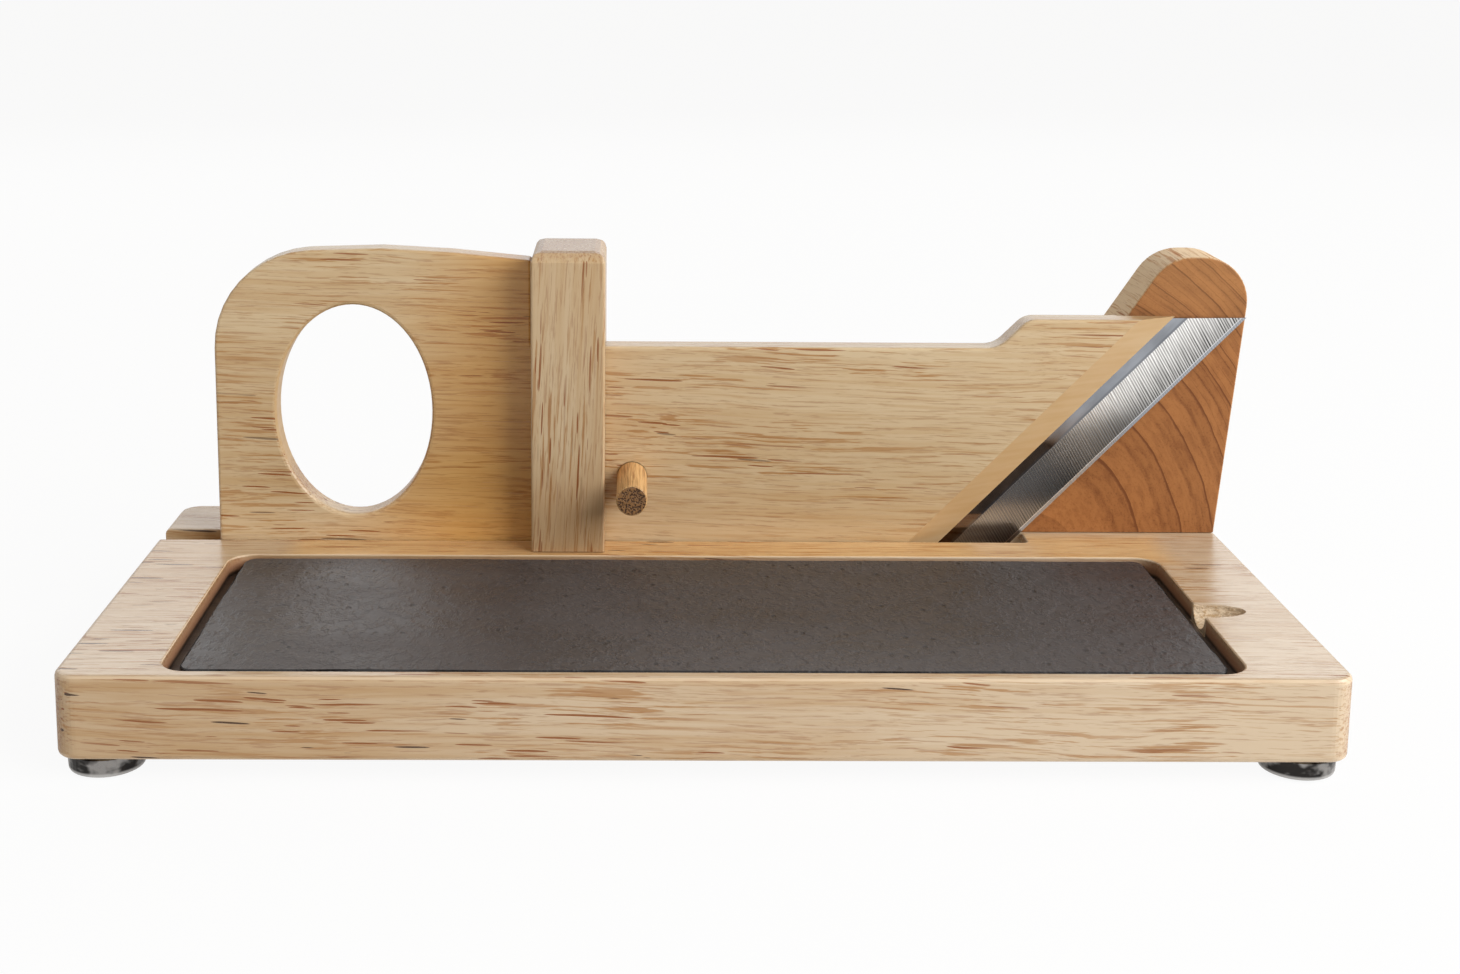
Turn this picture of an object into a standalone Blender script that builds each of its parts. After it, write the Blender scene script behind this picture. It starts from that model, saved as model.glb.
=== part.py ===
"""Sausage guillotine: a wooden board with a slate, and a sliding blade that cuts against a block.

Units are metres, +Z is up. Every piece is drawn in the board's own frame, and one empty then
carries that frame to the place where the whole object stands centred on its feet:
    x  from the middle of the board, towards the cutting block
    y  from the front face of the board, towards the back
    z  from the top face of the board
"""

from math import ceil, cos, pi, radians, sin, tan

import bmesh
import bpy
from mathutils import Vector

# Fits
FIT_GAP = 0.0003              # between two pieces that touch
SLIDER_PLAY = 0.0006          # each side of the slider in its groove
LINTEL_PLAY = 0.0010          # above the slider inside the post
SHOULDER_GAP = 0.0004         # between the handle's shoulder and the post
PIN_PLAY = 0.00015            # around the lock pin in its hole

# Board
BASE_LENGTH = 0.368
BASE_DEPTH = 0.165
BASE_THICKNESS = 0.025
BASE_CORNER = 0.007
BASE_EASE = 0.0016            # rounding of the board's long edges
RIM_EASE = 0.0006             # rounding of the recess and groove rims

# Slate and its recess
SLATE_LENGTH = 0.300
SLATE_DEPTH = 0.100
SLATE_THICKNESS = 0.005
SLATE_CORNER = 0.004
SLATE_EASE = 0.0004
SLATE_SINK = 0.0005           # the slate lies this far under the board's top
SLATE_END_GAP = 0.005
SLATE_FRONT_GAP = 0.0020
SLATE_REAR_GAP = 0.0016
FRONT_RIM = 0.0048            # wood in front of the recess
RECESS_CORNER = 0.008
NOTCH_REACH = 0.0145
NOTCH_HALF_WIDTH = 0.0063
NOTCH_DEPTH = 0.0056

# Guide post, a portal that the slider passes through
POST_SETBACK = 0.0030         # from the recess to the post
POST_LEFT = -0.0551
POST_WIDTH = 0.0246
POST_HEIGHT = 0.1026
FRONT_LEG = 0.0131
REAR_LEG = 0.0097
POST_EASE = 0.0008
POST_TOP_EASE = 0.0036
POST_SCREW_RISE = 0.020       # how far a post screw reaches into its leg

# Slider
SLIDER_THICKNESS = 0.0099
GROOVE_DEPTH = 0.010
GROOVE_END = 0.1154
GROOVE_END_CORNER = 0.0014
HANDLE_LENGTH = 0.1073
HANDLE_CORNER = 0.0338
HANDLE_LEFT_HEIGHT = 0.0982
HANDLE_CROWN_HEIGHT = 0.1024
HANDLE_CROWN_SETBACK = 0.0503  # from the shoulder to the crown
HANDLE_CROWN_RADIUS = 0.280
SHOULDER_HEIGHT = 0.0976
MID_HEIGHT = 0.0682
STEP_FOOT = 0.1027
STEP_RISE = 0.0100
STEP_FOOT_RADIUS = 0.009
STEP_TOP_RADIUS = 0.007
SLIDER_HEEL_RADIUS = 0.0030
SHOULDER_RADIUS = 0.0015
SLIDER_EASE = 0.0010
GRIP_FROM_END = 0.0469
GRIP_HEIGHT = 0.0455
GRIP_HALF_WIDTH = 0.0264
GRIP_HALF_HEIGHT = 0.0365
GRIP_EASE = 0.0014

# Blade
BLADE_ANGLE = radians(45.8)
BLADE_FOOT = 0.1146           # where the cutting edge meets the board's top
BLADE_THICKNESS = 0.0018
BLADE_SHOWN = 0.0188          # width in front of the wood, square to the edge
BLADE_HIDDEN = 0.0140         # width clamped behind the wood
BLADE_TOP_DROP = 0.0008
BLADE_TAIL = 0.0070           # reach of the blade below the board's top
GRIND_WIDTH = 0.0148
GRIND_EDGE_THICKNESS = 0.0007
EDGE_BEVEL_WIDTH = 0.0013
EDGE_THICKNESS = 0.0003
WOOD_BEVEL_WIDTH = 0.0101
WOOD_BEVEL_LAND = 0.0004

# Cutting block
BLOCK_THICKNESS = 0.024
BLOCK_FOOT_INSET = 0.0009     # from the end of the board to the block's foot
BLOCK_FOOT_LENGTH = 0.0850
BLOCK_HEIGHT = 0.0982
BLOCK_CUT_ANGLE = radians(56.8)
BLOCK_LEAN = radians(5.0)
BLOCK_CUT_RADIUS = 0.0160
BLOCK_CROWN_RADIUS = 0.0158
BLOCK_EASE = 0.0007
BLOCK_BACK_EASE = 0.0025
BLOCK_SCREW_RISE = 0.022
BLOCK_SCREW_INSET = 0.0215    # from the block's foot to its first screw
BLOCK_SCREW_SPACING = 0.030

# Lock pin
PIN_RADIUS = 0.0051
PIN_REACH = 0.0293
PIN_HEIGHT = 0.0228
PIN_TO_POST = 0.0041
PIN_HOLE_DEPTH = 0.0070
PIN_EASE = 0.0004

# Feet
FOOT_TOP_RADIUS = 0.0111
FOOT_BOTTOM_RADIUS = 0.0108
FOOT_CUP_HEIGHT = 0.0056
FOOT_INSET = 0.0122
FOOT_EASE = 0.0006
PAD_RADIUS = 0.0078
PAD_HOLE_RADIUS = 0.0046
PAD_THICKNESS = 0.0016
PAD_PROUD = 0.0006

# Screws
WOOD_SCREW_RADIUS = 0.0020
WOOD_SCREW_HEAD_RADIUS = 0.0040
WOOD_SCREW_SINK = 0.0015      # head below the underside of the board
FOOT_SCREW_RADIUS = 0.0018
FOOT_SCREW_HEAD_RADIUS = 0.0036
FOOT_SCREW_LENGTH = 0.016
BLADE_SCREW_RADIUS = 0.0014
BLADE_SCREW_HEAD_RADIUS = 0.0028
BLADE_SCREW_LENGTH = 0.0060
BLADE_SCREW_COUNT = 3
BLADE_SCREW_INSET = 0.0130    # height of the lowest one, and drop of the highest one
BLADE_SCREW_BACKSET = 0.0095  # from the wood's edge to the screws, square to the cutting edge
SCREW_TIP = 0.5               # radius of a tip, as a part of the shank's
CROSS_WIDTH = 0.22            # arm of the cross slot, as a part of the head's radius
CROSS_REACH = 0.62
CROSS_DEPTH = 0.45
HEAD_RIM = 0.0002             # straight rim of a countersunk head

# Fineness of round shapes
ARC_STEP = radians(9)
TURNED_SIDES = 40
SCREW_SIDES = 20
GRIP_SIDES = 72
EASE_STEPS = 3
OVERCUT = 0.004               # how far a cutter runs past what it cuts

# Places that follow from the sizes above
RECESS_LENGTH = SLATE_LENGTH + 2 * SLATE_END_GAP
RECESS_DEPTH = SLATE_DEPTH + SLATE_FRONT_GAP + SLATE_REAR_GAP
RECESS_FLOOR = SLATE_SINK + SLATE_THICKNESS + FIT_GAP
RECESS_BACK = FRONT_RIM + RECESS_DEPTH
SLATE_CENTER_Y = FRONT_RIM + SLATE_FRONT_GAP + SLATE_DEPTH / 2
GROOVE_WIDTH = SLIDER_THICKNESS + 2 * SLIDER_PLAY
POST_FRONT = RECESS_BACK + POST_SETBACK
GROOVE_FRONT = POST_FRONT + FRONT_LEG
GROOVE_BACK = GROOVE_FRONT + GROOVE_WIDTH
POST_BACK = GROOVE_BACK + REAR_LEG
POST_RIGHT = POST_LEFT + POST_WIDTH
SLOT_HEIGHT = MID_HEIGHT + LINTEL_PLAY
SLIDER_FRONT = GROOVE_FRONT + SLIDER_PLAY
SLIDER_BACK = SLIDER_FRONT + SLIDER_THICKNESS
SLIDER_MIDDLE = (SLIDER_FRONT + SLIDER_BACK) / 2
SLIDER_BOTTOM = FIT_GAP - GROOVE_DEPTH
SHOULDER = POST_LEFT - SHOULDER_GAP
SLIDER_LEFT = SHOULDER - HANDLE_LENGTH
BLADE_END_HEIGHT = MID_HEIGHT + STEP_RISE
BLADE_TOP = BLADE_END_HEIGHT - BLADE_TOP_DROP
BLADE_FRONT = SLIDER_BACK - BLADE_THICKNESS
RABBET_FLOOR = BLADE_FRONT - FIT_GAP
BLADE_SLOPE = 1 / tan(BLADE_ANGLE)
BLOCK_RIGHT = BASE_LENGTH / 2 - BLOCK_FOOT_INSET
BLOCK_LEFT = BLOCK_RIGHT - BLOCK_FOOT_LENGTH
PIN_X = POST_RIGHT + PIN_TO_POST + PIN_RADIUS
BASE_BOTTOM = -BASE_THICKNESS
FLOOR = BASE_BOTTOM - FIT_GAP - FOOT_CUP_HEIGHT - PAD_PROUD


# Outlines

def rounded_outline(corners):
    """Round the corners of a polygon. Each corner is (u, v, radius)."""
    points = []
    for index, (u, v, radius) in enumerate(corners):
        corner = Vector((u, v))
        before = Vector(corners[index - 1][:2]) - corner
        after = Vector(corners[(index + 1) % len(corners)][:2]) - corner
        turn = pi - before.angle(after)
        if radius <= 0 or turn < 1e-6:
            points.append((corner.x, corner.y))
            continue
        before.normalize()
        after.normalize()
        start = corner + before * radius * tan(turn / 2)
        center = corner + (before + after).normalized() * radius / cos(turn / 2)
        spoke = start - center
        side = 1 if before.x * after.y - before.y * after.x < 0 else -1
        steps = max(1, ceil(turn / ARC_STEP))
        for step in range(steps + 1):
            angle = side * turn * step / steps
            x = spoke.x * cos(angle) - spoke.y * sin(angle)
            y = spoke.x * sin(angle) + spoke.y * cos(angle)
            points.append((center.x + x, center.y + y))
    return points


def rectangle(left, right, front, back, radius):
    """Rounded rectangle, as corners for rounded_outline."""
    return [(left, front, radius), (right, front, radius), (right, back, radius), (left, back, radius)]


def ellipse(center_u, center_v, half_u, half_v, sides):
    return [
        (center_u + half_u * cos(2 * pi * side / sides), center_v + half_v * sin(2 * pi * side / sides))
        for side in range(sides)
    ]


def edge_line(z, distance):
    """x at height z of a line parallel to the cutting edge, this far behind it."""
    return BLADE_FOOT + z * BLADE_SLOPE - distance / sin(BLADE_ANGLE)


def slider_outline():
    """Side view of the slider board, up to where its bevel meets the blade."""
    bevel_top = edge_line(BLADE_END_HEIGHT, BLADE_SHOWN)
    bevel_bottom = edge_line(SLIDER_BOTTOM, BLADE_SHOWN)
    return rounded_outline([
        (SLIDER_LEFT, SLIDER_BOTTOM, SLIDER_HEEL_RADIUS),
        (SLIDER_LEFT, HANDLE_LEFT_HEIGHT, HANDLE_CORNER),
        (SHOULDER - HANDLE_CROWN_SETBACK, HANDLE_CROWN_HEIGHT, HANDLE_CROWN_RADIUS),
        (SHOULDER, SHOULDER_HEIGHT, SHOULDER_RADIUS),
        (SHOULDER, MID_HEIGHT, SHOULDER_RADIUS),
        (STEP_FOOT, MID_HEIGHT, STEP_FOOT_RADIUS),
        (STEP_FOOT + STEP_RISE, BLADE_END_HEIGHT, STEP_TOP_RADIUS),
        (bevel_top, BLADE_END_HEIGHT, 0),
        (bevel_bottom, SLIDER_BOTTOM, 0),
    ])


def block_outline():
    """Side view of the cutting block: a steep cutting side, a round crown and a leaning end."""
    cut_top = BLOCK_LEFT + BLOCK_HEIGHT / tan(BLOCK_CUT_ANGLE)
    end_top = BLOCK_RIGHT + BLOCK_HEIGHT * tan(BLOCK_LEAN)
    return rounded_outline([
        (BLOCK_LEFT, FIT_GAP, 0),
        (cut_top, BLOCK_HEIGHT, BLOCK_CUT_RADIUS),
        (end_top, BLOCK_HEIGHT, BLOCK_CROWN_RADIUS),
        (BLOCK_RIGHT, FIT_GAP, 0),
    ])


# Solids

def loft(rings):
    """Closed solid through rings that all have the same number of points."""
    mesh = bmesh.new()
    loops = [[mesh.verts.new(point) for point in ring] for ring in rings]
    mesh.faces.new(loops[0])
    mesh.faces.new(loops[-1])
    for lower, upper in zip(loops, loops[1:]):
        count = len(lower)
        for index in range(count):
            after = (index + 1) % count
            mesh.faces.new((lower[index], lower[after], upper[after], upper[index]))
    bmesh.ops.recalc_face_normals(mesh, faces=mesh.faces)
    return mesh


def upright_prism(outline, bottom, top):
    return loft([[(x, y, z) for x, y in outline] for z in (bottom, top)])


def sideways_prism(outline, front, back):
    return loft([[(x, y, z) for x, z in outline] for y in (front, back)])


def slanted_bar(section, bottom, top):
    """Bar that runs parallel to the cutting edge. A section point is (distance behind the edge, y)."""
    return loft([[(edge_line(z, distance), y, z) for distance, y in section] for z in (bottom, top)])


def turned(profile, sides, place):
    """Solid of revolution. The profile is (radius, height) pairs, and place puts a point."""
    rings = []
    for radius, height in profile:
        circle = ellipse(0, 0, radius, radius, sides)
        rings.append([place(u, v, height) for u, v in circle])
    return loft(rings)


def on_z(x, y):
    return lambda u, v, height: (x + u, y + v, height)


def on_y(x, z):
    return lambda u, v, height: (x + u, height, z + v)


def flared_pocket(corners_at, floor):
    """Cutter for a pocket from the board's top, with an eased rim. corners_at(offset) widens it."""
    steps = range(EASE_STEPS + 1)
    rim = []
    for step in steps:
        angle = pi / 2 * step / EASE_STEPS
        offset = RIM_EASE * (1 - cos(angle))
        rim.append((offset, RIM_EASE * (sin(angle) - 1)))
    levels = [(0, floor)] + rim + [(RIM_EASE, OVERCUT)]
    return loft([[(x, y, z) for x, y in rounded_outline(corners_at(offset))] for offset, z in levels])


# Objects

def clear_scene():
    for thing in list(bpy.data.objects):
        bpy.data.objects.remove(thing)


def make_material(name, color, roughness, metallic=0.0):
    material = bpy.data.materials.new(name)
    material.use_nodes = True
    shader = material.node_tree.nodes["Principled BSDF"]
    shader.inputs["Base Color"].default_value = (*color, 1.0)
    shader.inputs["Roughness"].default_value = roughness
    shader.inputs["Metallic"].default_value = metallic
    material.diffuse_color = (*color, 1.0)
    return material


def make_empty(name, location, parent=None):
    empty = bpy.data.objects.new(name, None)
    bpy.context.scene.collection.objects.link(empty)
    empty.location = location
    empty.parent = parent
    return empty


def add_object(name, mesh, carrier, material=None):
    """Turn a bmesh that is drawn in the board's frame into an object on its carrier."""
    origin = carrier["origin"]
    bmesh.ops.translate(mesh, verts=mesh.verts, vec=-origin)
    data = bpy.data.meshes.new(name)
    mesh.to_mesh(data)
    mesh.free()
    data.shade_smooth()
    data.set_sharp_from_angle(angle=radians(30))
    thing = bpy.data.objects.new(name, data)
    bpy.context.scene.collection.objects.link(thing)
    thing.parent = carrier["empty"]
    if material:
        data.materials.append(material)
    return thing


def ease_edges(thing, width, limit=radians(40)):
    """Round every sharp edge of an object."""
    bevel = thing.modifiers.new("eased_edges", "BEVEL")
    bevel.width = width
    bevel.segments = EASE_STEPS
    bevel.limit_method = "ANGLE"
    bevel.angle_limit = limit
    bevel.harden_normals = False


def ease_marked_edges(thing, width, chosen):
    """Round the edges that chosen(edge) gives a weight from 0 to 1."""
    mesh = bmesh.new()
    mesh.from_mesh(thing.data)
    layer = mesh.edges.layers.float.new("bevel_weight_edge")
    for edge in mesh.edges:
        edge[layer] = chosen(edge)
    mesh.to_mesh(thing.data)
    mesh.free()
    bevel = thing.modifiers.new("eased_edges", "BEVEL")
    bevel.width = width
    bevel.segments = EASE_STEPS
    bevel.limit_method = "WEIGHT"


def cut(thing, name, cutter_mesh, carrier):
    """Take a cutter's shape out of an object."""
    cutter = add_object(name + "_cutter", cutter_mesh, carrier)
    cutter.hide_render = True
    cutter.display_type = "WIRE"
    boolean = thing.modifiers.new(name, "BOOLEAN")
    boolean.operation = "DIFFERENCE"
    boolean.solver = "EXACT"
    boolean.object = cutter


# Screws

def screw_profile(length, shank, head, seat):
    """Countersunk screw from its head at seat to its tip: (radius, distance along the screw)."""
    cone = head - shank
    return [
        (head, seat),
        (head, seat + HEAD_RIM),
        (shank, seat + HEAD_RIM + cone),
        (shank, seat + length - shank),
        (shank * SCREW_TIP, seat + length),
    ]


def screw_hole_profile(length, shank, head, seat):
    """The hole that a screw of that profile lies in, one fit gap wider and open at its head."""
    wide_head = head + FIT_GAP
    wide_shank = shank + FIT_GAP
    cone = head - shank
    return [
        (wide_head, seat - OVERCUT),
        (wide_head, seat + HEAD_RIM),
        (wide_shank, seat + HEAD_RIM + cone + FIT_GAP),
        (wide_shank, seat + length + FIT_GAP),
    ]


def cross_outline(head):
    """Plus-shaped driver slot."""
    arm = head * CROSS_WIDTH / 2
    reach = head * CROSS_REACH
    quarter = [(reach, -arm), (reach, arm), (arm, arm)]
    points = []
    for turn in range(4):
        c, s = round(cos(turn * pi / 2)), round(sin(turn * pi / 2))
        points += [(u * c - v * s, u * s + v * c) for u, v in quarter]
    return points


def add_screw(name, carrier, material, place, length, shank, head, seat):
    """Screw and its driver slot. place maps (u, v, distance along the screw) to the board's frame."""
    body = turned(screw_profile(length, shank, head, seat), SCREW_SIDES, place)
    screw = add_object(name, body, carrier, material)
    slot_depth = head * CROSS_DEPTH
    depths = (seat - slot_depth, seat + slot_depth)
    slot = loft([[place(u, v, depth) for u, v in cross_outline(head)] for depth in depths])
    cut(screw, name + "_slot", slot, carrier)
    return screw


def upward_from(x, y, level):
    """Place a screw that points up, with its head at this level."""
    return lambda u, v, along: (x + u, y - v, level + along)


def forward_from(x, z, level):
    """Place a screw that points to the front, with its head at this level."""
    return lambda u, v, along: (x + u, level - along, z + v)


# Pieces of the board

def post_screw_places():
    middle = (POST_LEFT + POST_RIGHT) / 2
    return {
        "post_screw_front": (middle, (POST_FRONT + GROOVE_FRONT) / 2),
        "post_screw_rear": (middle, (GROOVE_BACK + POST_BACK) / 2),
    }


def block_screw_places():
    x = BLOCK_LEFT + BLOCK_SCREW_INSET
    y = GROOVE_BACK + BLOCK_THICKNESS / 2
    return {
        "block_screw_inner": (x, y),
        "block_screw_outer": (x + BLOCK_SCREW_SPACING, y),
    }


def foot_places():
    x = BASE_LENGTH / 2 - FOOT_INSET
    return {
        "front_left": (-x, FOOT_INSET),
        "front_right": (x, FOOT_INSET),
        "rear_left": (-x, BASE_DEPTH - FOOT_INSET),
        "rear_right": (x, BASE_DEPTH - FOOT_INSET),
    }


def wood_screw_level():
    return BASE_BOTTOM + WOOD_SCREW_SINK


def foot_screw_level():
    return BASE_BOTTOM - FIT_GAP - FOOT_CUP_HEIGHT + PAD_THICKNESS - PAD_PROUD + FIT_GAP


def wood_screw_length(rise):
    return BASE_THICKNESS - WOOD_SCREW_SINK + rise


def wood_screw_hole(place_xy, rise):
    profile = screw_hole_profile(wood_screw_length(rise), WOOD_SCREW_RADIUS, WOOD_SCREW_HEAD_RADIUS, 0)
    return turned(profile, SCREW_SIDES, upward_from(*place_xy, wood_screw_level()))


def foot_screw_hole(place_xy):
    profile = screw_hole_profile(FOOT_SCREW_LENGTH, FOOT_SCREW_RADIUS, FOOT_SCREW_HEAD_RADIUS, 0)
    return turned(profile, SCREW_SIDES, upward_from(*place_xy, foot_screw_level()))


def add_base_board(board, wood):
    half = BASE_LENGTH / 2
    outline = rounded_outline(rectangle(-half, half, 0, BASE_DEPTH, BASE_CORNER))
    base = add_object("base_board", upright_prism(outline, BASE_BOTTOM, 0), board, wood)
    ease_edges(base, BASE_EASE)

    def recess_corners(offset):
        end = RECESS_LENGTH / 2 + offset
        return rectangle(-end, end, FRONT_RIM - offset, RECESS_BACK + offset, RECESS_CORNER + offset)

    def groove_corners(offset):
        radius = GROOVE_END_CORNER + offset
        start = -half - OVERCUT - radius
        end = GROOVE_END + offset
        return rectangle(start, end, GROOVE_FRONT - offset, GROOVE_BACK + offset, radius)

    cut(base, "slate_recess", flared_pocket(recess_corners, -RECESS_FLOOR), board)
    cut(base, "slider_groove", flared_pocket(groove_corners, -GROOVE_DEPTH), board)
    cut(base, "finger_notch", finger_notch(), board)
    for name, place in post_screw_places().items():
        cut(base, name + "_hole", wood_screw_hole(place, POST_SCREW_RISE), board)
    for name, place in block_screw_places().items():
        cut(base, name + "_hole", wood_screw_hole(place, BLOCK_SCREW_RISE), board)
    for name, place in foot_places().items():
        cut(base, "foot_screw_" + name + "_hole", foot_screw_hole(place), board)


def finger_notch():
    """Scoop in the end of the recess, where a fingertip lifts the slate."""
    mesh = bmesh.new()
    bmesh.ops.create_uvsphere(mesh, u_segments=24, v_segments=12, radius=1)
    bmesh.ops.scale(mesh, verts=mesh.verts, vec=(NOTCH_REACH, NOTCH_HALF_WIDTH, NOTCH_DEPTH))
    place = Vector((RECESS_LENGTH / 2, (FRONT_RIM + RECESS_BACK) / 2, 0))
    bmesh.ops.translate(mesh, verts=mesh.verts, vec=place)
    return mesh


def add_guide_post(board, wood):
    outline = rounded_outline(rectangle(POST_LEFT, POST_RIGHT, POST_FRONT, POST_BACK, 0))
    post = add_object("guide_post", upright_prism(outline, FIT_GAP, POST_HEIGHT), board, wood)

    def weight(edge):
        heights = [vert.co.z for vert in edge.verts]
        if min(heights) > POST_HEIGHT / 2:
            return 1.0
        if max(heights) < POST_HEIGHT / 2:
            return 0.0
        return POST_EASE / POST_TOP_EASE

    ease_marked_edges(post, POST_TOP_EASE, weight)
    slot = [
        (POST_LEFT - OVERCUT, GROOVE_FRONT),
        (POST_RIGHT + OVERCUT, GROOVE_FRONT),
        (POST_RIGHT + OVERCUT, GROOVE_BACK),
        (POST_LEFT - OVERCUT, GROOVE_BACK),
    ]
    cut(post, "slider_slot", upright_prism(slot, -OVERCUT, SLOT_HEIGHT), board)
    for name, place in post_screw_places().items():
        cut(post, name + "_bore", wood_screw_hole(place, POST_SCREW_RISE), board)


def add_cutting_block(board, wood):
    mesh = sideways_prism(block_outline(), GROOVE_BACK, GROOVE_BACK + BLOCK_THICKNESS)
    block = add_object("cutting_block", mesh, board, wood)
    middle = GROOVE_BACK + BLOCK_THICKNESS / 2

    def weight(edge):
        heights = [vert.co.z for vert in edge.verts]
        depths = [vert.co.y for vert in edge.verts]
        if max(heights) < 2 * FIT_GAP or max(depths) - min(depths) > BLOCK_THICKNESS / 2:
            return 0.0
        return 1.0 if min(depths) > middle else BLOCK_EASE / BLOCK_BACK_EASE

    ease_marked_edges(block, BLOCK_BACK_EASE, weight)
    for name, place in block_screw_places().items():
        cut(block, name + "_bore", wood_screw_hole(place, BLOCK_SCREW_RISE), board)


def add_wood_screws(board, steel):
    groups = ((post_screw_places(), POST_SCREW_RISE), (block_screw_places(), BLOCK_SCREW_RISE))
    for places, rise in groups:
        for name, (x, y) in places.items():
            place = upward_from(x, y, wood_screw_level())
            add_screw(name, board, steel, place, wood_screw_length(rise), WOOD_SCREW_RADIUS,
                      WOOD_SCREW_HEAD_RADIUS, 0)


def add_feet(board, chrome, rubber, steel):
    top = BASE_BOTTOM - FIT_GAP
    bottom = top - FOOT_CUP_HEIGHT
    pad_bottom = bottom - PAD_PROUD
    pad_top = pad_bottom + PAD_THICKNESS
    cup_profile = [
        (FOOT_BOTTOM_RADIUS - FOOT_EASE, bottom),
        (FOOT_BOTTOM_RADIUS - FOOT_EASE / 3, bottom + FOOT_EASE / 3),
        (FOOT_BOTTOM_RADIUS, bottom + FOOT_EASE),
        (FOOT_TOP_RADIUS, top - FOOT_EASE / 2),
        (FOOT_TOP_RADIUS - FOOT_EASE / 2, top),
    ]
    pocket_profile = [(PAD_RADIUS + FIT_GAP, bottom - OVERCUT), (PAD_RADIUS + FIT_GAP, pad_top + FIT_GAP)]
    pad_profile = [(PAD_RADIUS, pad_bottom), (PAD_RADIUS, pad_top)]
    pad_hole_profile = [(PAD_HOLE_RADIUS, pad_bottom - OVERCUT), (PAD_HOLE_RADIUS, pad_top + OVERCUT)]
    for name, (x, y) in foot_places().items():
        around = on_z(x, y)
        cup = add_object("foot_" + name, turned(cup_profile, TURNED_SIDES, around), board, chrome)
        cut(cup, "foot_" + name + "_pocket", turned(pocket_profile, TURNED_SIDES, around), board)
        cut(cup, "foot_" + name + "_hole", foot_screw_hole((x, y)), board)
        pad = add_object("foot_pad_" + name, turned(pad_profile, TURNED_SIDES, around), board, rubber)
        cut(pad, "foot_pad_" + name + "_hole", turned(pad_hole_profile, TURNED_SIDES, around), board)
        place = upward_from(x, y, foot_screw_level())
        add_screw("foot_screw_" + name, board, steel, place, FOOT_SCREW_LENGTH, FOOT_SCREW_RADIUS,
                  FOOT_SCREW_HEAD_RADIUS, 0)


# Moving pieces

def add_slate(carrier, slate):
    half = SLATE_LENGTH / 2
    front = SLATE_CENTER_Y - SLATE_DEPTH / 2
    outline = rounded_outline(rectangle(-half, half, front, front + SLATE_DEPTH, SLATE_CORNER))
    mesh = upright_prism(outline, -SLATE_SINK - SLATE_THICKNESS, -SLATE_SINK)
    ease_edges(add_object("slate_plate", mesh, carrier, slate), SLATE_EASE)


def blade_screw_places():
    """x, z of the blade's screws, spread along its hidden part."""
    spacing = (BLADE_TOP - 2 * BLADE_SCREW_INSET) / (BLADE_SCREW_COUNT - 1)
    heights = [BLADE_SCREW_INSET + spacing * index for index in range(BLADE_SCREW_COUNT)]
    return [(edge_line(z, BLADE_SHOWN + BLADE_SCREW_BACKSET), z) for z in heights]


def blade_screw_hole(x, z):
    profile = screw_hole_profile(BLADE_SCREW_LENGTH, BLADE_SCREW_RADIUS, BLADE_SCREW_HEAD_RADIUS, 0)
    return turned(profile, SCREW_SIDES, forward_from(x, z, SLIDER_BACK))


def grip_cutter():
    """Oval hand hole with eased rims on both faces."""
    levels = [(GRIP_EASE, SLIDER_FRONT - OVERCUT)]
    for step in range(EASE_STEPS + 1):
        angle = pi / 2 * step / EASE_STEPS
        levels.append((GRIP_EASE * (1 - sin(angle)), SLIDER_FRONT + GRIP_EASE * (1 - cos(angle))))
    for step in range(EASE_STEPS, -1, -1):
        angle = pi / 2 * step / EASE_STEPS
        levels.append((GRIP_EASE * (1 - sin(angle)), SLIDER_BACK - GRIP_EASE * (1 - cos(angle))))
    levels.append((GRIP_EASE, SLIDER_BACK + OVERCUT))
    center = SLIDER_LEFT + GRIP_FROM_END
    rings = []
    for offset, y in levels:
        oval = ellipse(center, GRIP_HEIGHT, GRIP_HALF_WIDTH + offset, GRIP_HALF_HEIGHT + offset, GRIP_SIDES)
        rings.append([(x, y, z) for x, z in oval])
    return loft(rings)


def wood_bevel_cutter():
    """Takes the slanted bevel off the slider's front, down to a thin land at the blade."""
    back = BLADE_SHOWN
    front = BLADE_SHOWN + WOOD_BEVEL_WIDTH
    land = RABBET_FLOOR - WOOD_BEVEL_LAND
    slope = (land - SLIDER_FRONT) / WOOD_BEVEL_WIDTH
    past = WOOD_BEVEL_WIDTH / 4
    section = [
        (front + past, SLIDER_FRONT - slope * past),
        (back - past, land + slope * past),
        (back - past, SLIDER_FRONT - OVERCUT),
        (front + past, SLIDER_FRONT - OVERCUT),
    ]
    return slanted_bar(section, SLIDER_BOTTOM - OVERCUT, BLADE_END_HEIGHT + OVERCUT)


def rabbet_cutter():
    """Seat for the blade in the slider's back."""
    inner = BLADE_SHOWN + BLADE_HIDDEN + FIT_GAP
    outer = BLADE_SHOWN - OVERCUT
    section = [
        (inner, RABBET_FLOOR),
        (outer, RABBET_FLOOR),
        (outer, SLIDER_BACK + OVERCUT),
        (inner, SLIDER_BACK + OVERCUT),
    ]
    return slanted_bar(section, SLIDER_BOTTOM - OVERCUT, BLADE_END_HEIGHT + OVERCUT)


def pin_hole():
    radius = PIN_RADIUS + PIN_PLAY
    profile = [(radius, SLIDER_FRONT - OVERCUT), (radius, SLIDER_FRONT + PIN_HOLE_DEPTH)]
    return turned(profile, TURNED_SIDES, on_y(PIN_X, PIN_HEIGHT))


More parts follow.
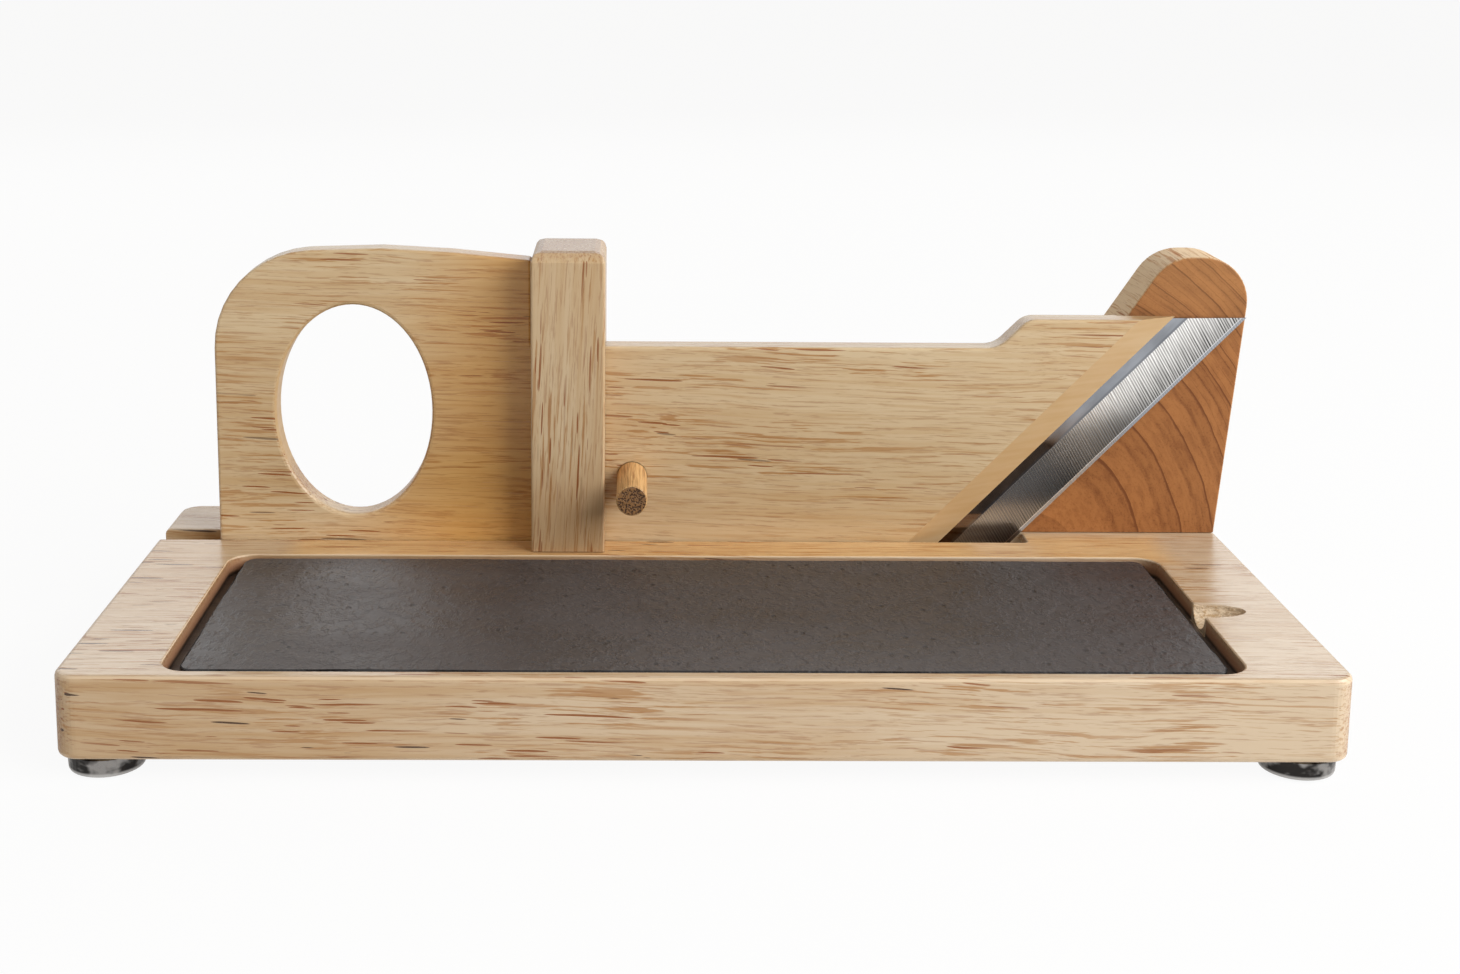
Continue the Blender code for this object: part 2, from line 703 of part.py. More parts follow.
def add_slider(carrier, wood):
    mesh = sideways_prism(slider_outline(), SLIDER_FRONT, SLIDER_BACK)
    slider = add_object("slider_board", mesh, carrier, wood)
    middle = SLIDER_MIDDLE - carrier["origin"].y

    def weight(edge):
        sides = {vert.co.y > middle for vert in edge.verts}
        return 1.0 if len(sides) == 1 else 0.0

    ease_marked_edges(slider, SLIDER_EASE, weight)
    cut(slider, "wood_bevel", wood_bevel_cutter(), carrier)
    cut(slider, "blade_rabbet", rabbet_cutter(), carrier)
    cut(slider, "hand_hole", grip_cutter(), carrier)
    cut(slider, "lock_pin_hole", pin_hole(), carrier)
    for index, (x, z) in enumerate(blade_screw_places(), start=1):
        cut(slider, f"blade_screw_{index}_bore", blade_screw_hole(x, z), carrier)


def add_blade(carrier, steel):
    """Blade ground from the front: a flat, a long grind and a fine edge bevel."""
    section = [
        (BLADE_SHOWN + BLADE_HIDDEN, BLADE_FRONT),
        (GRIND_WIDTH, BLADE_FRONT),
        (EDGE_BEVEL_WIDTH, SLIDER_BACK - GRIND_EDGE_THICKNESS),
        (0, SLIDER_BACK - EDGE_THICKNESS),
        (0, SLIDER_BACK),
        (BLADE_SHOWN + BLADE_HIDDEN, SLIDER_BACK),
    ]
    blade = add_object("blade", slanted_bar(section, -BLADE_TAIL, BLADE_TOP), carrier, steel)
    for index, (x, z) in enumerate(blade_screw_places(), start=1):
        cut(blade, f"blade_screw_{index}_hole", blade_screw_hole(x, z), carrier)


def add_blade_screws(carrier, steel):
    for index, (x, z) in enumerate(blade_screw_places(), start=1):
        place = forward_from(x, z, SLIDER_BACK)
        add_screw(f"blade_screw_{index}", carrier, steel, place, BLADE_SCREW_LENGTH, BLADE_SCREW_RADIUS,
                  BLADE_SCREW_HEAD_RADIUS, FIT_GAP / 2)


def add_lock_pin(carrier, wood):
    """Dowel that stands out of the slider beside the post, and keeps the slider from opening."""
    back = SLIDER_FRONT - FIT_GAP
    front = SLIDER_FRONT - PIN_REACH
    profile = [
        (PIN_RADIUS, back),
        (PIN_RADIUS, front + PIN_EASE),
        (PIN_RADIUS - PIN_EASE, front),
    ]
    add_object("lock_pin", turned(profile, TURNED_SIDES, on_y(PIN_X, PIN_HEIGHT)), carrier, wood)


# The whole object

def build():
    clear_scene()
    light_wood = make_material("pale_hardwood", (0.62, 0.43, 0.25), 0.5)
    warm_wood = make_material("block_end_grain", (0.42, 0.22, 0.10), 0.55)
    dowel_wood = make_material("dowel_wood", (0.48, 0.29, 0.14), 0.6)
    slate = make_material("slate", (0.075, 0.068, 0.066), 0.6)
    blade_steel = make_material("ground_steel", (0.62, 0.63, 0.65), 0.25, 1.0)
    screw_steel = make_material("screw_steel", (0.55, 0.55, 0.56), 0.35, 1.0)
    foot_steel = make_material("foot_steel", (0.60, 0.60, 0.61), 0.22, 1.0)
    rubber = make_material("pad_rubber", (0.03, 0.03, 0.03), 0.8)

    block_reach = max(x for x, z in block_outline())
    center_x = (block_reach - BASE_LENGTH / 2) / 2
    board_empty = make_empty("board_frame", (-center_x, -BASE_DEPTH / 2, -FLOOR))

    def carrier(name, origin):
        return {"empty": make_empty(name, origin, board_empty), "origin": Vector(origin)}

    board = {"empty": board_empty, "origin": Vector((0, 0, 0))}
    slide = carrier("slider_axis", (SLIDER_LEFT, SLIDER_MIDDLE, SLIDER_BOTTOM))
    lift = carrier("slate_axis", (0, SLATE_CENTER_Y, -SLATE_SINK))
    pull = carrier("lock_pin_axis", (PIN_X, SLIDER_FRONT, PIN_HEIGHT))

    add_base_board(board, light_wood)
    add_guide_post(board, light_wood)
    add_cutting_block(board, warm_wood)
    add_wood_screws(board, screw_steel)
    add_feet(board, foot_steel, rubber, screw_steel)
    add_slate(lift, slate)
    add_slider(slide, light_wood)
    add_blade(slide, blade_steel)
    add_blade_screws(slide, screw_steel)
    add_lock_pin(pull, dowel_wood)


build()
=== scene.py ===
"""Sausage guillotine, dressed: oiled hardwood, a slate plate, a ground steel blade and polished feet.

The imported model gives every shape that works. This file gives each of its pieces a finish,
models the split slate as a detailed piece of its own, and sets up a plain studio.
"""

from math import cos, pi, radians, sin

import bmesh
import bpy
from bpy.props import FloatProperty, FloatVectorProperty, IntProperty, PointerProperty
from mathutils import Euler, Matrix, Vector, noise


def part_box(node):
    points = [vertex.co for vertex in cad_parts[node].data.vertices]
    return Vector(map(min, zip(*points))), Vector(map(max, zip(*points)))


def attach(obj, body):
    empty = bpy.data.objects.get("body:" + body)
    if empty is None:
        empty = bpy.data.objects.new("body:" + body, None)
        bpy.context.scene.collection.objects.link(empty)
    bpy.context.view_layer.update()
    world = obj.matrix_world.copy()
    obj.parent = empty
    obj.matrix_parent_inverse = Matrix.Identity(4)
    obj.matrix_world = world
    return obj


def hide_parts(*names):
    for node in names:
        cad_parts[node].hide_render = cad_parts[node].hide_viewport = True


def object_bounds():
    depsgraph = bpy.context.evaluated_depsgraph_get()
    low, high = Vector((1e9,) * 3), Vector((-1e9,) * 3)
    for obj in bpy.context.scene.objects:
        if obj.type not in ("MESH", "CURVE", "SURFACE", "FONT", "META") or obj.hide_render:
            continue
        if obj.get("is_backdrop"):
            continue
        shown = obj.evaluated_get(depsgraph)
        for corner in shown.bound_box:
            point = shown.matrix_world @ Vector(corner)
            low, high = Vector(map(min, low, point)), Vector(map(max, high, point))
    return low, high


bl_info = {
    "name": "Sausage guillotine",
    "version": (1, 0, 0),
    "blender": (4, 5, 0),
    "location": "3D View > Sidebar > Guillotine",
    "description": "Finishes for a wooden sausage guillotine with a slate plate and a sliding blade",
    "category": "Object",
}

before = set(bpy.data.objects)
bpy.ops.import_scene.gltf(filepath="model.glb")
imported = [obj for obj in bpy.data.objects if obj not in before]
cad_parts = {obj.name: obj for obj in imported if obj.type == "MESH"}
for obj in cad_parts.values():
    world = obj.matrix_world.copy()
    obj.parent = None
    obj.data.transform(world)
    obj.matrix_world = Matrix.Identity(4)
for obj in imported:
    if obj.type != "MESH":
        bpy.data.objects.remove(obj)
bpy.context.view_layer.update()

GRAIN_ORDER = {"X": "XYZ", "Y": "YZX", "Z": "ZXY"}
UP = (0, 0, 1)
WHITE = (1, 1, 1)
MARK_EDGE = 13.0
ROUNDED_OVER = (0.78, 0.985)


# Materials and objects

class Nodes:
    """A node tree that is being built."""

    def __init__(self, tree):
        self.tree = tree

    def feed(self, socket, value):
        if isinstance(value, bpy.types.NodeSocket):
            self.tree.links.new(value, socket)
        else:
            socket.default_value = value

    def node(self, kind, inputs=None, **settings):
        made = self.tree.nodes.new("ShaderNode" + kind)
        for name, value in settings.items():
            setattr(made, name, value)
        for name, value in (inputs or {}).items():
            self.feed(made.inputs[name], value)
        return made

    def split(self, vector):
        """The three parts of a vector, by axis."""
        return self.node("SeparateXYZ", {"Vector": vector}).outputs

    def math(self, operation, first, second=0.0, clamp=False):
        made = self.node("Math", {0: first, 1: second}, operation=operation, use_clamp=clamp)
        return made.outputs[0]

    def add(self, first, *others, clamp=False):
        """The sum. With clamp, it is kept between 0 and 1."""
        total = first
        for value in others[:-1]:
            total = self.math("ADD", total, value)
        return self.math("ADD", total, others[-1], clamp)

    def largest(self, first, *others):
        for value in others:
            first = self.math("MAXIMUM", first, value)
        return first

    def minus(self, first, second, clamp=False):
        return self.math("SUBTRACT", first, second, clamp)

    def times(self, first, second, clamp=False):
        return self.math("MULTIPLY", first, second, clamp)

    def vector(self, operation, first, second=(0, 0, 0)):
        """The result of a vector operation, as a number where it gives one."""
        made = self.node("VectorMath", {0: first, 1: second}, operation=operation)
        return made.outputs["Value" if operation in ("DOT_PRODUCT", "LENGTH") else "Vector"]

    def ramp(self, value, low, high, bottom=0.0, top=1.0):
        """Runs smoothly from bottom to top as value goes from low to high."""
        inputs = {"Value": value, "From Min": low, "From Max": high, "To Min": bottom, "To Max": top}
        return self.node("MapRange", inputs, interpolation_type="SMOOTHSTEP").outputs["Result"]

    def fade(self, value, low, high):
        """Runs smoothly from 1 to 0 as value goes from low to high."""
        return self.ramp(value, low, high, 1.0, 0.0)

    def near(self, value, middle, width, share=1.0, core=0.0):
        """share where value is within core of the middle, and 0 beyond width."""
        return self.ramp(self.math("ABSOLUTE", self.minus(value, middle)), core, width, share, 0.0)

    def mix(self, factor, first, second, blend="MIX"):
        made = self.node("Mix", data_type="RGBA", blend_type=blend)
        self.feed(made.inputs["Factor"], factor)
        self.feed(made.inputs[6], opaque(first))
        self.feed(made.inputs[7], opaque(second))
        return made.outputs[2]

    def multiply(self, color, tint):
        return self.mix(1.0, color, tint, "MULTIPLY")

    def tinted(self, share, color, tint):
        """The colour multiplied by a tint on this share of the surface."""
        return self.mix(share, color, self.multiply(color, tint))

    def gray(self, value):
        """The same number in all three parts of a colour."""
        return self.node("CombineColor", {"Red": value, "Green": value, "Blue": value}).outputs[0]


class Finish(Nodes):
    """A surface material that is being built."""

    def __init__(self, name, roughness, metallic=0.0, gloss=0.5):
        self.material = bpy.data.materials.new(name)
        self.material.use_nodes = True
        super().__init__(self.material.node_tree)
        self.shader = self.tree.nodes["Principled BSDF"]
        self.shader.inputs["Metallic"].default_value = metallic
        self.shader.inputs["Roughness"].default_value = roughness
        self.shader.inputs["Specular IOR Level"].default_value = gloss
        self.object_place = self.node("TexCoord").outputs["Object"]

    def place_on(self, axis):
        """How far along this axis a point lies."""
        return self.split(self.object_place)[axis]

    def grain_place(self, along):
        """Object coordinates, turned so that the first one runs along the grain."""
        parts = self.split(self.object_place)
        ordered = [parts[axis] for axis in GRAIN_ORDER[along]]
        return self.node("CombineXYZ", dict(enumerate(ordered))).outputs[0]

    def stretch(self, place, scale, shift=(0, 0, 0)):
        inputs = {"Vector": place, "Scale": scale, "Location": shift}
        return self.node("Mapping", inputs).outputs[0]

    def layer(self, layer, place=None, shift=(0, 0, 0)):
        """Noise from a layer: its waves per metre, its detail and its roughness."""
        waves, detail, roughness = layer
        place = self.stretch(self.object_place if place is None else place, waves, shift)
        inputs = {"Vector": place, "Scale": 1.0, "Detail": detail, "Roughness": roughness}
        return self.node("TexNoise", inputs).outputs["Fac"]

    def warp(self, place, amount, scale, detail=2.0):
        """Moves the coordinates by up to about half of amount, in waves of this scale."""
        inputs = {"Vector": self.stretch(place, scale), "Scale": 1.0, "Detail": detail}
        waves = self.node("TexNoise", inputs).outputs["Color"]
        centred = self.vector("SUBTRACT", waves, (0.5, 0.5, 0.5))
        return self.vector("ADD", place, self.vector("MULTIPLY", centred, amount))

    def radius(self, place, pith):
        """Distance from the middle of the trunk, across the grain."""
        return self.vector("LENGTH", self.stretch(place, (0, 1, 1), (0, -pith[0], -pith[1])))

    def rings(self, count):
        """Growth rings of uneven width: a tone for each ring, and the distance to its border."""
        inputs = {"W": count, "Scale": 1.0}
        tone = self.node("TexVoronoi", inputs, voronoi_dimensions="1D").outputs["Color"]
        border = self.node("TexVoronoi", inputs, voronoi_dimensions="1D", feature="DISTANCE_TO_EDGE")
        red = self.node("SeparateColor", {"Color": tone}).outputs["Red"]
        return red, border.outputs["Distance"]

    def cells(self, place, scale, shift=(0, 0, 0)):
        """Cells with this many per metre: a colour for each, and the distance to its middle."""
        inputs = {"Vector": self.stretch(place, scale, shift), "Scale": 1.0}
        return self.node("TexVoronoi", inputs).outputs

    def marks(self, place, kind, shift):
        """Short tapered marks along the grain, of uneven size: 1 inside a mark and 0 beside it.

        kind is the length and width of the spacing, the size of the largest marks as a part
        of the spacing, and how many of the cells hold a mark.
        """
        length, width, reach, share = kind
        cells = self.cells(place, (1 / length, 1 / width, 1 / width), shift)
        chance = self.node("SeparateColor", {"Color": cells["Color"]}).outputs["Red"]
        size = self.ramp(chance, 1 - share, 1.0, 0.0, reach)
        inside = self.minus(size, cells["Distance"])
        return self.times(inside, MARK_EDGE / reach, clamp=True)

    def facing(self, direction, low, high):
        """1 where the surface faces this way, 0 where it doesn't."""
        normal = self.node("TexCoord").outputs["Normal"]
        return self.ramp(self.vector("DOT_PRODUCT", normal, direction), low, high)

    def normal_parts(self):
        """How far the surface's normal points along each axis, without its sign."""
        return self.split(self.vector("ABSOLUTE", self.node("TexCoord").outputs["Normal"]))

    def eased(self, tilt=0.0):
        """1 on an edge that is rounded over, 0 on the faces beside it.

        With tilt above 0, only edges that also turn upwards or downwards count.
        """
        parts = self.normal_parts()
        turned = self.fade(self.largest(*parts), *ROUNDED_OVER)
        if tilt:
            turned = self.times(turned, self.ramp(parts["Z"], tilt * 0.3, tilt))
        return turned

    def within(self, low, high, soft):
        """1 inside this box, falling to 0 over the distance soft outside it."""
        center = tuple((a + b) / 2 for a, b in zip(low, high))
        half = tuple((b - a) / 2 for a, b in zip(low, high))
        away = self.vector("ABSOLUTE", self.vector("SUBTRACT", self.object_place, center))
        past = self.split(self.vector("SUBTRACT", away, half))
        return self.fade(self.largest(*past), 0.0, soft)

    def color(self, value):
        self.feed(self.shader.inputs["Base Color"], opaque(value))

    def roughness(self, value):
        self.feed(self.shader.inputs["Roughness"], value)

    def bump(self, height, distance, strength=1.0):
        inputs = {"Height": height, "Distance": distance, "Strength": strength}
        self.feed(self.shader.inputs["Normal"], self.node("Bump", inputs).outputs[0])


def opaque(value):
    """A colour with full alpha, or the socket itself."""
    return value if isinstance(value, bpy.types.NodeSocket) else (*value[:3], 1.0)


def dress(node_name, material):
    """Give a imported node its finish."""
    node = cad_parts[node_name]
    node.data.materials.clear()
    node.data.materials.append(material)


def scaled(color, factor):
    """The colour made lighter or darker by this factor."""
    return tuple(min(1.0, part * factor) for part in color[:3])


def placed(name, data):
    """A new object in the scene that shows this data."""
    made = bpy.data.objects.new(name, data)
    bpy.context.scene.collection.objects.link(made)
    return made


# Settings that a user would change

def color_setting(name, description, default):
    return FloatVectorProperty(name=name, description=description, default=default,
                               min=0, max=1, subtype="COLOR")


def length_setting(name, description, default, low, high):
    return FloatProperty(name=name, description=description, default=default,
                         min=low, max=high, subtype="DISTANCE", unit="LENGTH")


def power_setting(name, description, default):
    return FloatProperty(name=name, description=description, default=default, min=0, unit="POWER")


class WoodSettings(bpy.types.PropertyGroup):
    pale: color_setting("Pale wood", "Lightest colour of the oiled hardwood", (0.68, 0.53, 0.355))
    tan: color_setting("Tan wood", "Colour of the darker growth bands", (0.52, 0.315, 0.135))
    warm: color_setting(
        "Warm streaks", "Colour of the soft orange-brown streaks", (0.43, 0.215, 0.072))
    streak: color_setting(
        "Grain streaks", "Colour of the fine streaks along the grain", (0.29, 0.1, 0.024))
    pore: color_setting("Open pores", "Colour of the darkest short pores", (0.06, 0.026, 0.011))
    scorch: color_setting(
        "Scorched wood", "Colour of the walls that the router has burnt", (0.42, 0.205, 0.105))
    end_light: color_setting(
        "End grain", "Lighter colour of the block's sawn end grain", (0.39, 0.158, 0.048))
    end_dark: color_setting(
        "End grain lines", "Colour of the growth lines in the end grain", (0.16, 0.05, 0.012))
    ring_pitch: length_setting(
        "Growth ring pitch", "Mean distance between two growth rings", 0.0085, 0.001, 0.05)
    ring_spread: length_setting(
        "Rings of the block", "Spread of the block's rings, closer towards the bark",
        0.0361, 0.005, 0.1)
    ring_height: FloatProperty(
        name="Ring height", description="How much taller than wide the block's rings are",
        default=1.3, min=0.5, max=3)
    roughness: FloatProperty(
        name="Roughness", description="Roughness of the oiled surface",
        default=0.27, min=0, max=1, subtype="FACTOR")
    gloss: FloatProperty(
        name="Gloss", description="How strongly the oiled surface reflects",
        default=0.52, min=0, max=1, subtype="FACTOR")


class SlateSettings(bpy.types.PropertyGroup):
    stone: color_setting("Stone", "Main colour of the slate", (0.047, 0.041, 0.0405))
    worn: color_setting("Worn edge", "Colour of freshly chipped slate", (0.17, 0.16, 0.155))
    cell: length_setting("Mesh cell", "Spacing of the plate's surface points", 0.0016, 0.0005, 0.01)
    relief: length_setting(
        "Cleft relief", "Height of the low waves left by splitting the stone", 0.00022, 0, 0.001)
    chip: length_setting("Chip depth", "Deepest chip along the plate's edges", 0.0013, 0, 0.003)
    corner: length_setting(
        "Corner radius", "Rounding of the plate's four corners", 0.004, 0.001, 0.02)
    seed: IntProperty(name="Seed", description="Which pattern of chips is used", default=4, min=0)


class BladeSettings(bpy.types.PropertyGroup):
    steel: color_setting("Steel", "Colour of the ground steel", (0.56, 0.555, 0.55))
    flat: color_setting(
        "Smooth flat", "Colour of the smooth flat beside the wood", (0.31, 0.33, 0.365))
    angle: FloatProperty(
        name="Edge angle", description="Slope of the cutting edge against the board",
        default=radians(45.8), min=0.1, max=1.5, subtype="ANGLE", unit="ROTATION")
    grind: length_setting(
        "Grind width", "Width of the ground face, square to the cutting edge", 0.0148, 0.001, 0.03)
    edge: length_setting(
        "Edge width", "Width of the honed edge, square to the cutting edge", 0.0013, 0.0001, 0.01)
    brush: length_setting(
        "Brush pitch", "Spacing of the grinding lines across the blade", 0.00095, 0.0001, 0.01)


class StudioSettings(bpy.types.PropertyGroup):
    lens: FloatProperty(
        name="Lens", description="Focal length on a 36 mm wide sensor, in millimetres",
        default=47.02, min=10, max=200)
    camera_place: FloatVectorProperty(
        name="Camera", description="Where the camera stands",
        default=(-0.0241, -0.5896, 0.2347), subtype="TRANSLATION", unit="LENGTH")
    camera_turn: FloatVectorProperty(
        name="Camera turn", description="How far it looks down, is turned sideways and is rolled",
        default=(0.1691, -0.0116, 0.0075), subtype="EULER", unit="ROTATION")
    camera_shift: FloatVectorProperty(
        name="Camera shift", description="Shift of the picture, as a part of its width",
        default=(0.0508, -0.15), size=2)
    key: power_setting("Key light", "Power of the soft light on the right", 33.0)
    fill: power_setting("Fill light", "Power of the soft light on the left", 2.6)
    back: power_setting("Back light", "Power of the wide soft light behind the object", 10.0)
    ambient: FloatProperty(
        name="Ambient", description="Strength of the even light from all around",
        default=0.25, min=0, max=2)


# Wood
#
# A layer holds its waves per metre on three axes, then the noise's detail and roughness.
# Where it follows the grain, the first axis runs along it. A kind of marks holds what
# Finish.marks says. Four numbers are a range: as a value runs from the first to the second,
# the result runs from the third to the fourth. Two are the value's range alone, and the
# result runs from 0 to 1.

GRAIN_WANDER = ((0.0075, (7, 13, 13)), (0.001, (38, 110, 110)))
DRIFT = ((7, 24, 24), 3, 0.5)
BANDS = ((14, 480, 480), 2, 0.6)
STREAKS = ((34, 1050, 1050), 3, 0.6)
FIBRES = ((60, 1500, 1500), 3, 0.7)
CLUSTERS = ((16, 85, 85), 2, 0.5)
CUT_PORES = ((120, 1300, 1300), 2, 0.7)
MARK_SLANT = (1.0, 6.3, 7.9)
LONG_MARKS = (0.055, 0.0015, 0.27, 0.78)
SHORT_MARKS = (0.022, 0.0013, 0.29, 0.8)
DARK_MARKS = (0.026, 0.0018, 0.27, 0.6)
RING_TONE = 0.22
DRIFT_TONE = (0.3, 0.7, 0.0, 0.3)
BAND_TONE = (0.42, 0.62, 0.0, 0.24)
BORDER_TONE = (0.0, 0.1, 0.12, 0.0)
BUSY_SHARE = (0.36, 0.62, 0.22, 1.0)
WARM_SHARE = (0.54, 0.6, 0.0, 0.85)
FIBRE_SHARE = (0.54, 0.62, 0.0, 0.34)
MARK_SHARE = (0.44, 0.6, 0.1, 1.0)
PORE_CROWD = (0.54, 0.61)
CUT_PORE_SHARE = (0.5, 0.66, 0.22, 0.75)
PORE_DEPTH = 2.0
WOOD_RELIEF = -0.5
MARK_ROUGHNESS = 0.14
# Brightness of the painted highlight on rounded edges, against the pale wood.
EDGE_HIGHLIGHT_BRIGHTNESS = 1.3


def wood_surface(finish, along, settings, pith, seed, paler=0.0, open_pores=0.0,
                 slope=(0, 0), wave=1.0, darkest=0.95):
    """Colour and relief of oiled hardwood with its grain along one axis.

    pith is where the middle of the trunk lay, in the two directions across the grain.
    paler is the share by which the wood lightens, and may vary over the piece, as may
    open_pores, which adds streaks and dark pores. slope leans the grain off its axis, in the
    same two directions, and wave is how much it wanders. darkest is how strongly the darkest
    pores show.
    """
    grain = finish.grain_place(along)
    run = finish.split(grain)["X"]
    lean = finish.node("VectorMath", {0: (0, *slope), "Scale": run}, operation="SCALE")
    grain = wavy = finish.vector("ADD", grain, lean.outputs[0])
    for reach, waves in GRAIN_WANDER:
        wavy = finish.warp(wavy, (0, reach * wave, reach * wave), waves)
    # Slanting the cells keeps the marks from standing in columns.
    parts = finish.split(wavy)
    slanted = finish.vector("DOT_PRODUCT", wavy, MARK_SLANT)
    slant = finish.node("CombineXYZ", {0: slanted, 1: parts["Y"], 2: parts["Z"]}).outputs[0]

    ring_count = finish.math("DIVIDE", finish.radius(wavy, pith), settings.ring_pitch)
    ring_tone, border = finish.rings(ring_count)
    drift = finish.layer(DRIFT, grain, (seed, seed, 0))
    bands = finish.layer(BANDS, wavy, (0, seed, seed))
    streaks = finish.layer(STREAKS, wavy, (seed, seed, 0))
    fibre = finish.layer(FIBRES, wavy, (seed, 0, seed))
    cluster = finish.layer(CLUSTERS, grain, (seed, 0, seed))
    crowd = finish.add(cluster, open_pores)

    tone = finish.add(finish.times(ring_tone, RING_TONE), finish.ramp(drift, *DRIFT_TONE),
                      finish.ramp(bands, *BAND_TONE), finish.ramp(border, *BORDER_TONE))
    color = finish.mix(finish.minus(tone, paler, clamp=True), settings.pale, settings.tan)

    warm_share = finish.times(finish.ramp(streaks, *WARM_SHARE), finish.ramp(cluster, *BUSY_SHARE))
    fibre_share = finish.ramp(fibre, *FIBRE_SHARE)
    light_marks = finish.largest(finish.marks(slant, LONG_MARKS, (seed, 0, seed)),
                                 finish.marks(slant, SHORT_MARKS, (0, seed, seed)))
    streak_share = finish.times(light_marks, finish.ramp(crowd, *MARK_SHARE))
    dark_marks = finish.marks(slant, DARK_MARKS, (seed, seed, 0))
    pore_share = finish.times(dark_marks, finish.ramp(crowd, *PORE_CROWD, 0.0, darkest))
    for share, darker in ((warm_share, settings.warm), (fibre_share, settings.streak),
                          (streak_share, settings.streak), (pore_share, settings.pore)):
        color = finish.mix(share, color, darker)

    relief = finish.add(streak_share, finish.times(pore_share, PORE_DEPTH))
    relief = finish.times(finish.add(relief, fibre_share), WOOD_RELIEF)
    rough = finish.add(finish.times(streak_share, MARK_ROUGHNESS), settings.roughness)

    # Where the piece is cut across, the pores show as dots.
    cut = finish.ramp(finish.normal_parts()[along], 0.4, 0.85)
    dots = finish.layer(CUT_PORES, grain)
    dotted = finish.mix(finish.ramp(dots, *CUT_PORE_SHARE), color, settings.streak)
    return finish.mix(cut, color, dotted), relief, rough


def painted_edge_highlight(finish, color, edges, settings, share):
    """Painted highlight: paler wood on the rounded edges."""
    return finish.mix(finish.times(edges, share), color, scaled(settings.pale, EDGE_HIGHLIGHT_BRIGHTNESS))


def shaded_top(finish, color):
    """Painted shade: slightly darker wood on the narrow faces that look up."""
    return finish.tinted(finish.facing(UP, 0.75, 0.95), color, tint=(0.79, 0.78, 0.75))


def finished_wood(finish, color, relief, rough, tint=WHITE):
    """Puts the finished surface on the shader."""
    finish.color(finish.multiply(color, tint))
    finish.roughness(rough)
    finish.bump(relief, 0.00012, 0.6)
    return finish.material


# How much the board changes from its left to its right. Painted sheen makes it darker at the left end
# and paler at the right, and paler on the left of its top.
BOARD_PAINTED_SHEEN = (-0.28, 0.36)
BOARD_TOP_PAINTED_SHEEN = (0.4, -0.1)
BOARD_PORES = (0.14, -0.04)
RECESS_MARGIN = Vector((0.0052, 0.0021, 0))
RECESS_RIM = 0.0008
SCORCH_CLOUD = ((60, 60, 500), 3, 0.5)
SCORCH_PATCHES = (0.25, 0.6, 0.88, 1.0)
# The recess's scorch with painted shade: how deep it grows darker, its share at the rim, and the
# painted shadow at its floor.
SCORCH_AND_SHADE_REACH = 0.0032
SCORCH_AND_SHADE_AT_RIM = 0.4
SHADOWED_RECESS_FLOOR = (0.0002, 0.0015)
NOTCH_FRONT, NOTCH_REAR, NOTCH_LENGTH = -0.033, -0.0185, 0.014
SPLINTERS = ((600, 900, 900), 4, 0.7)


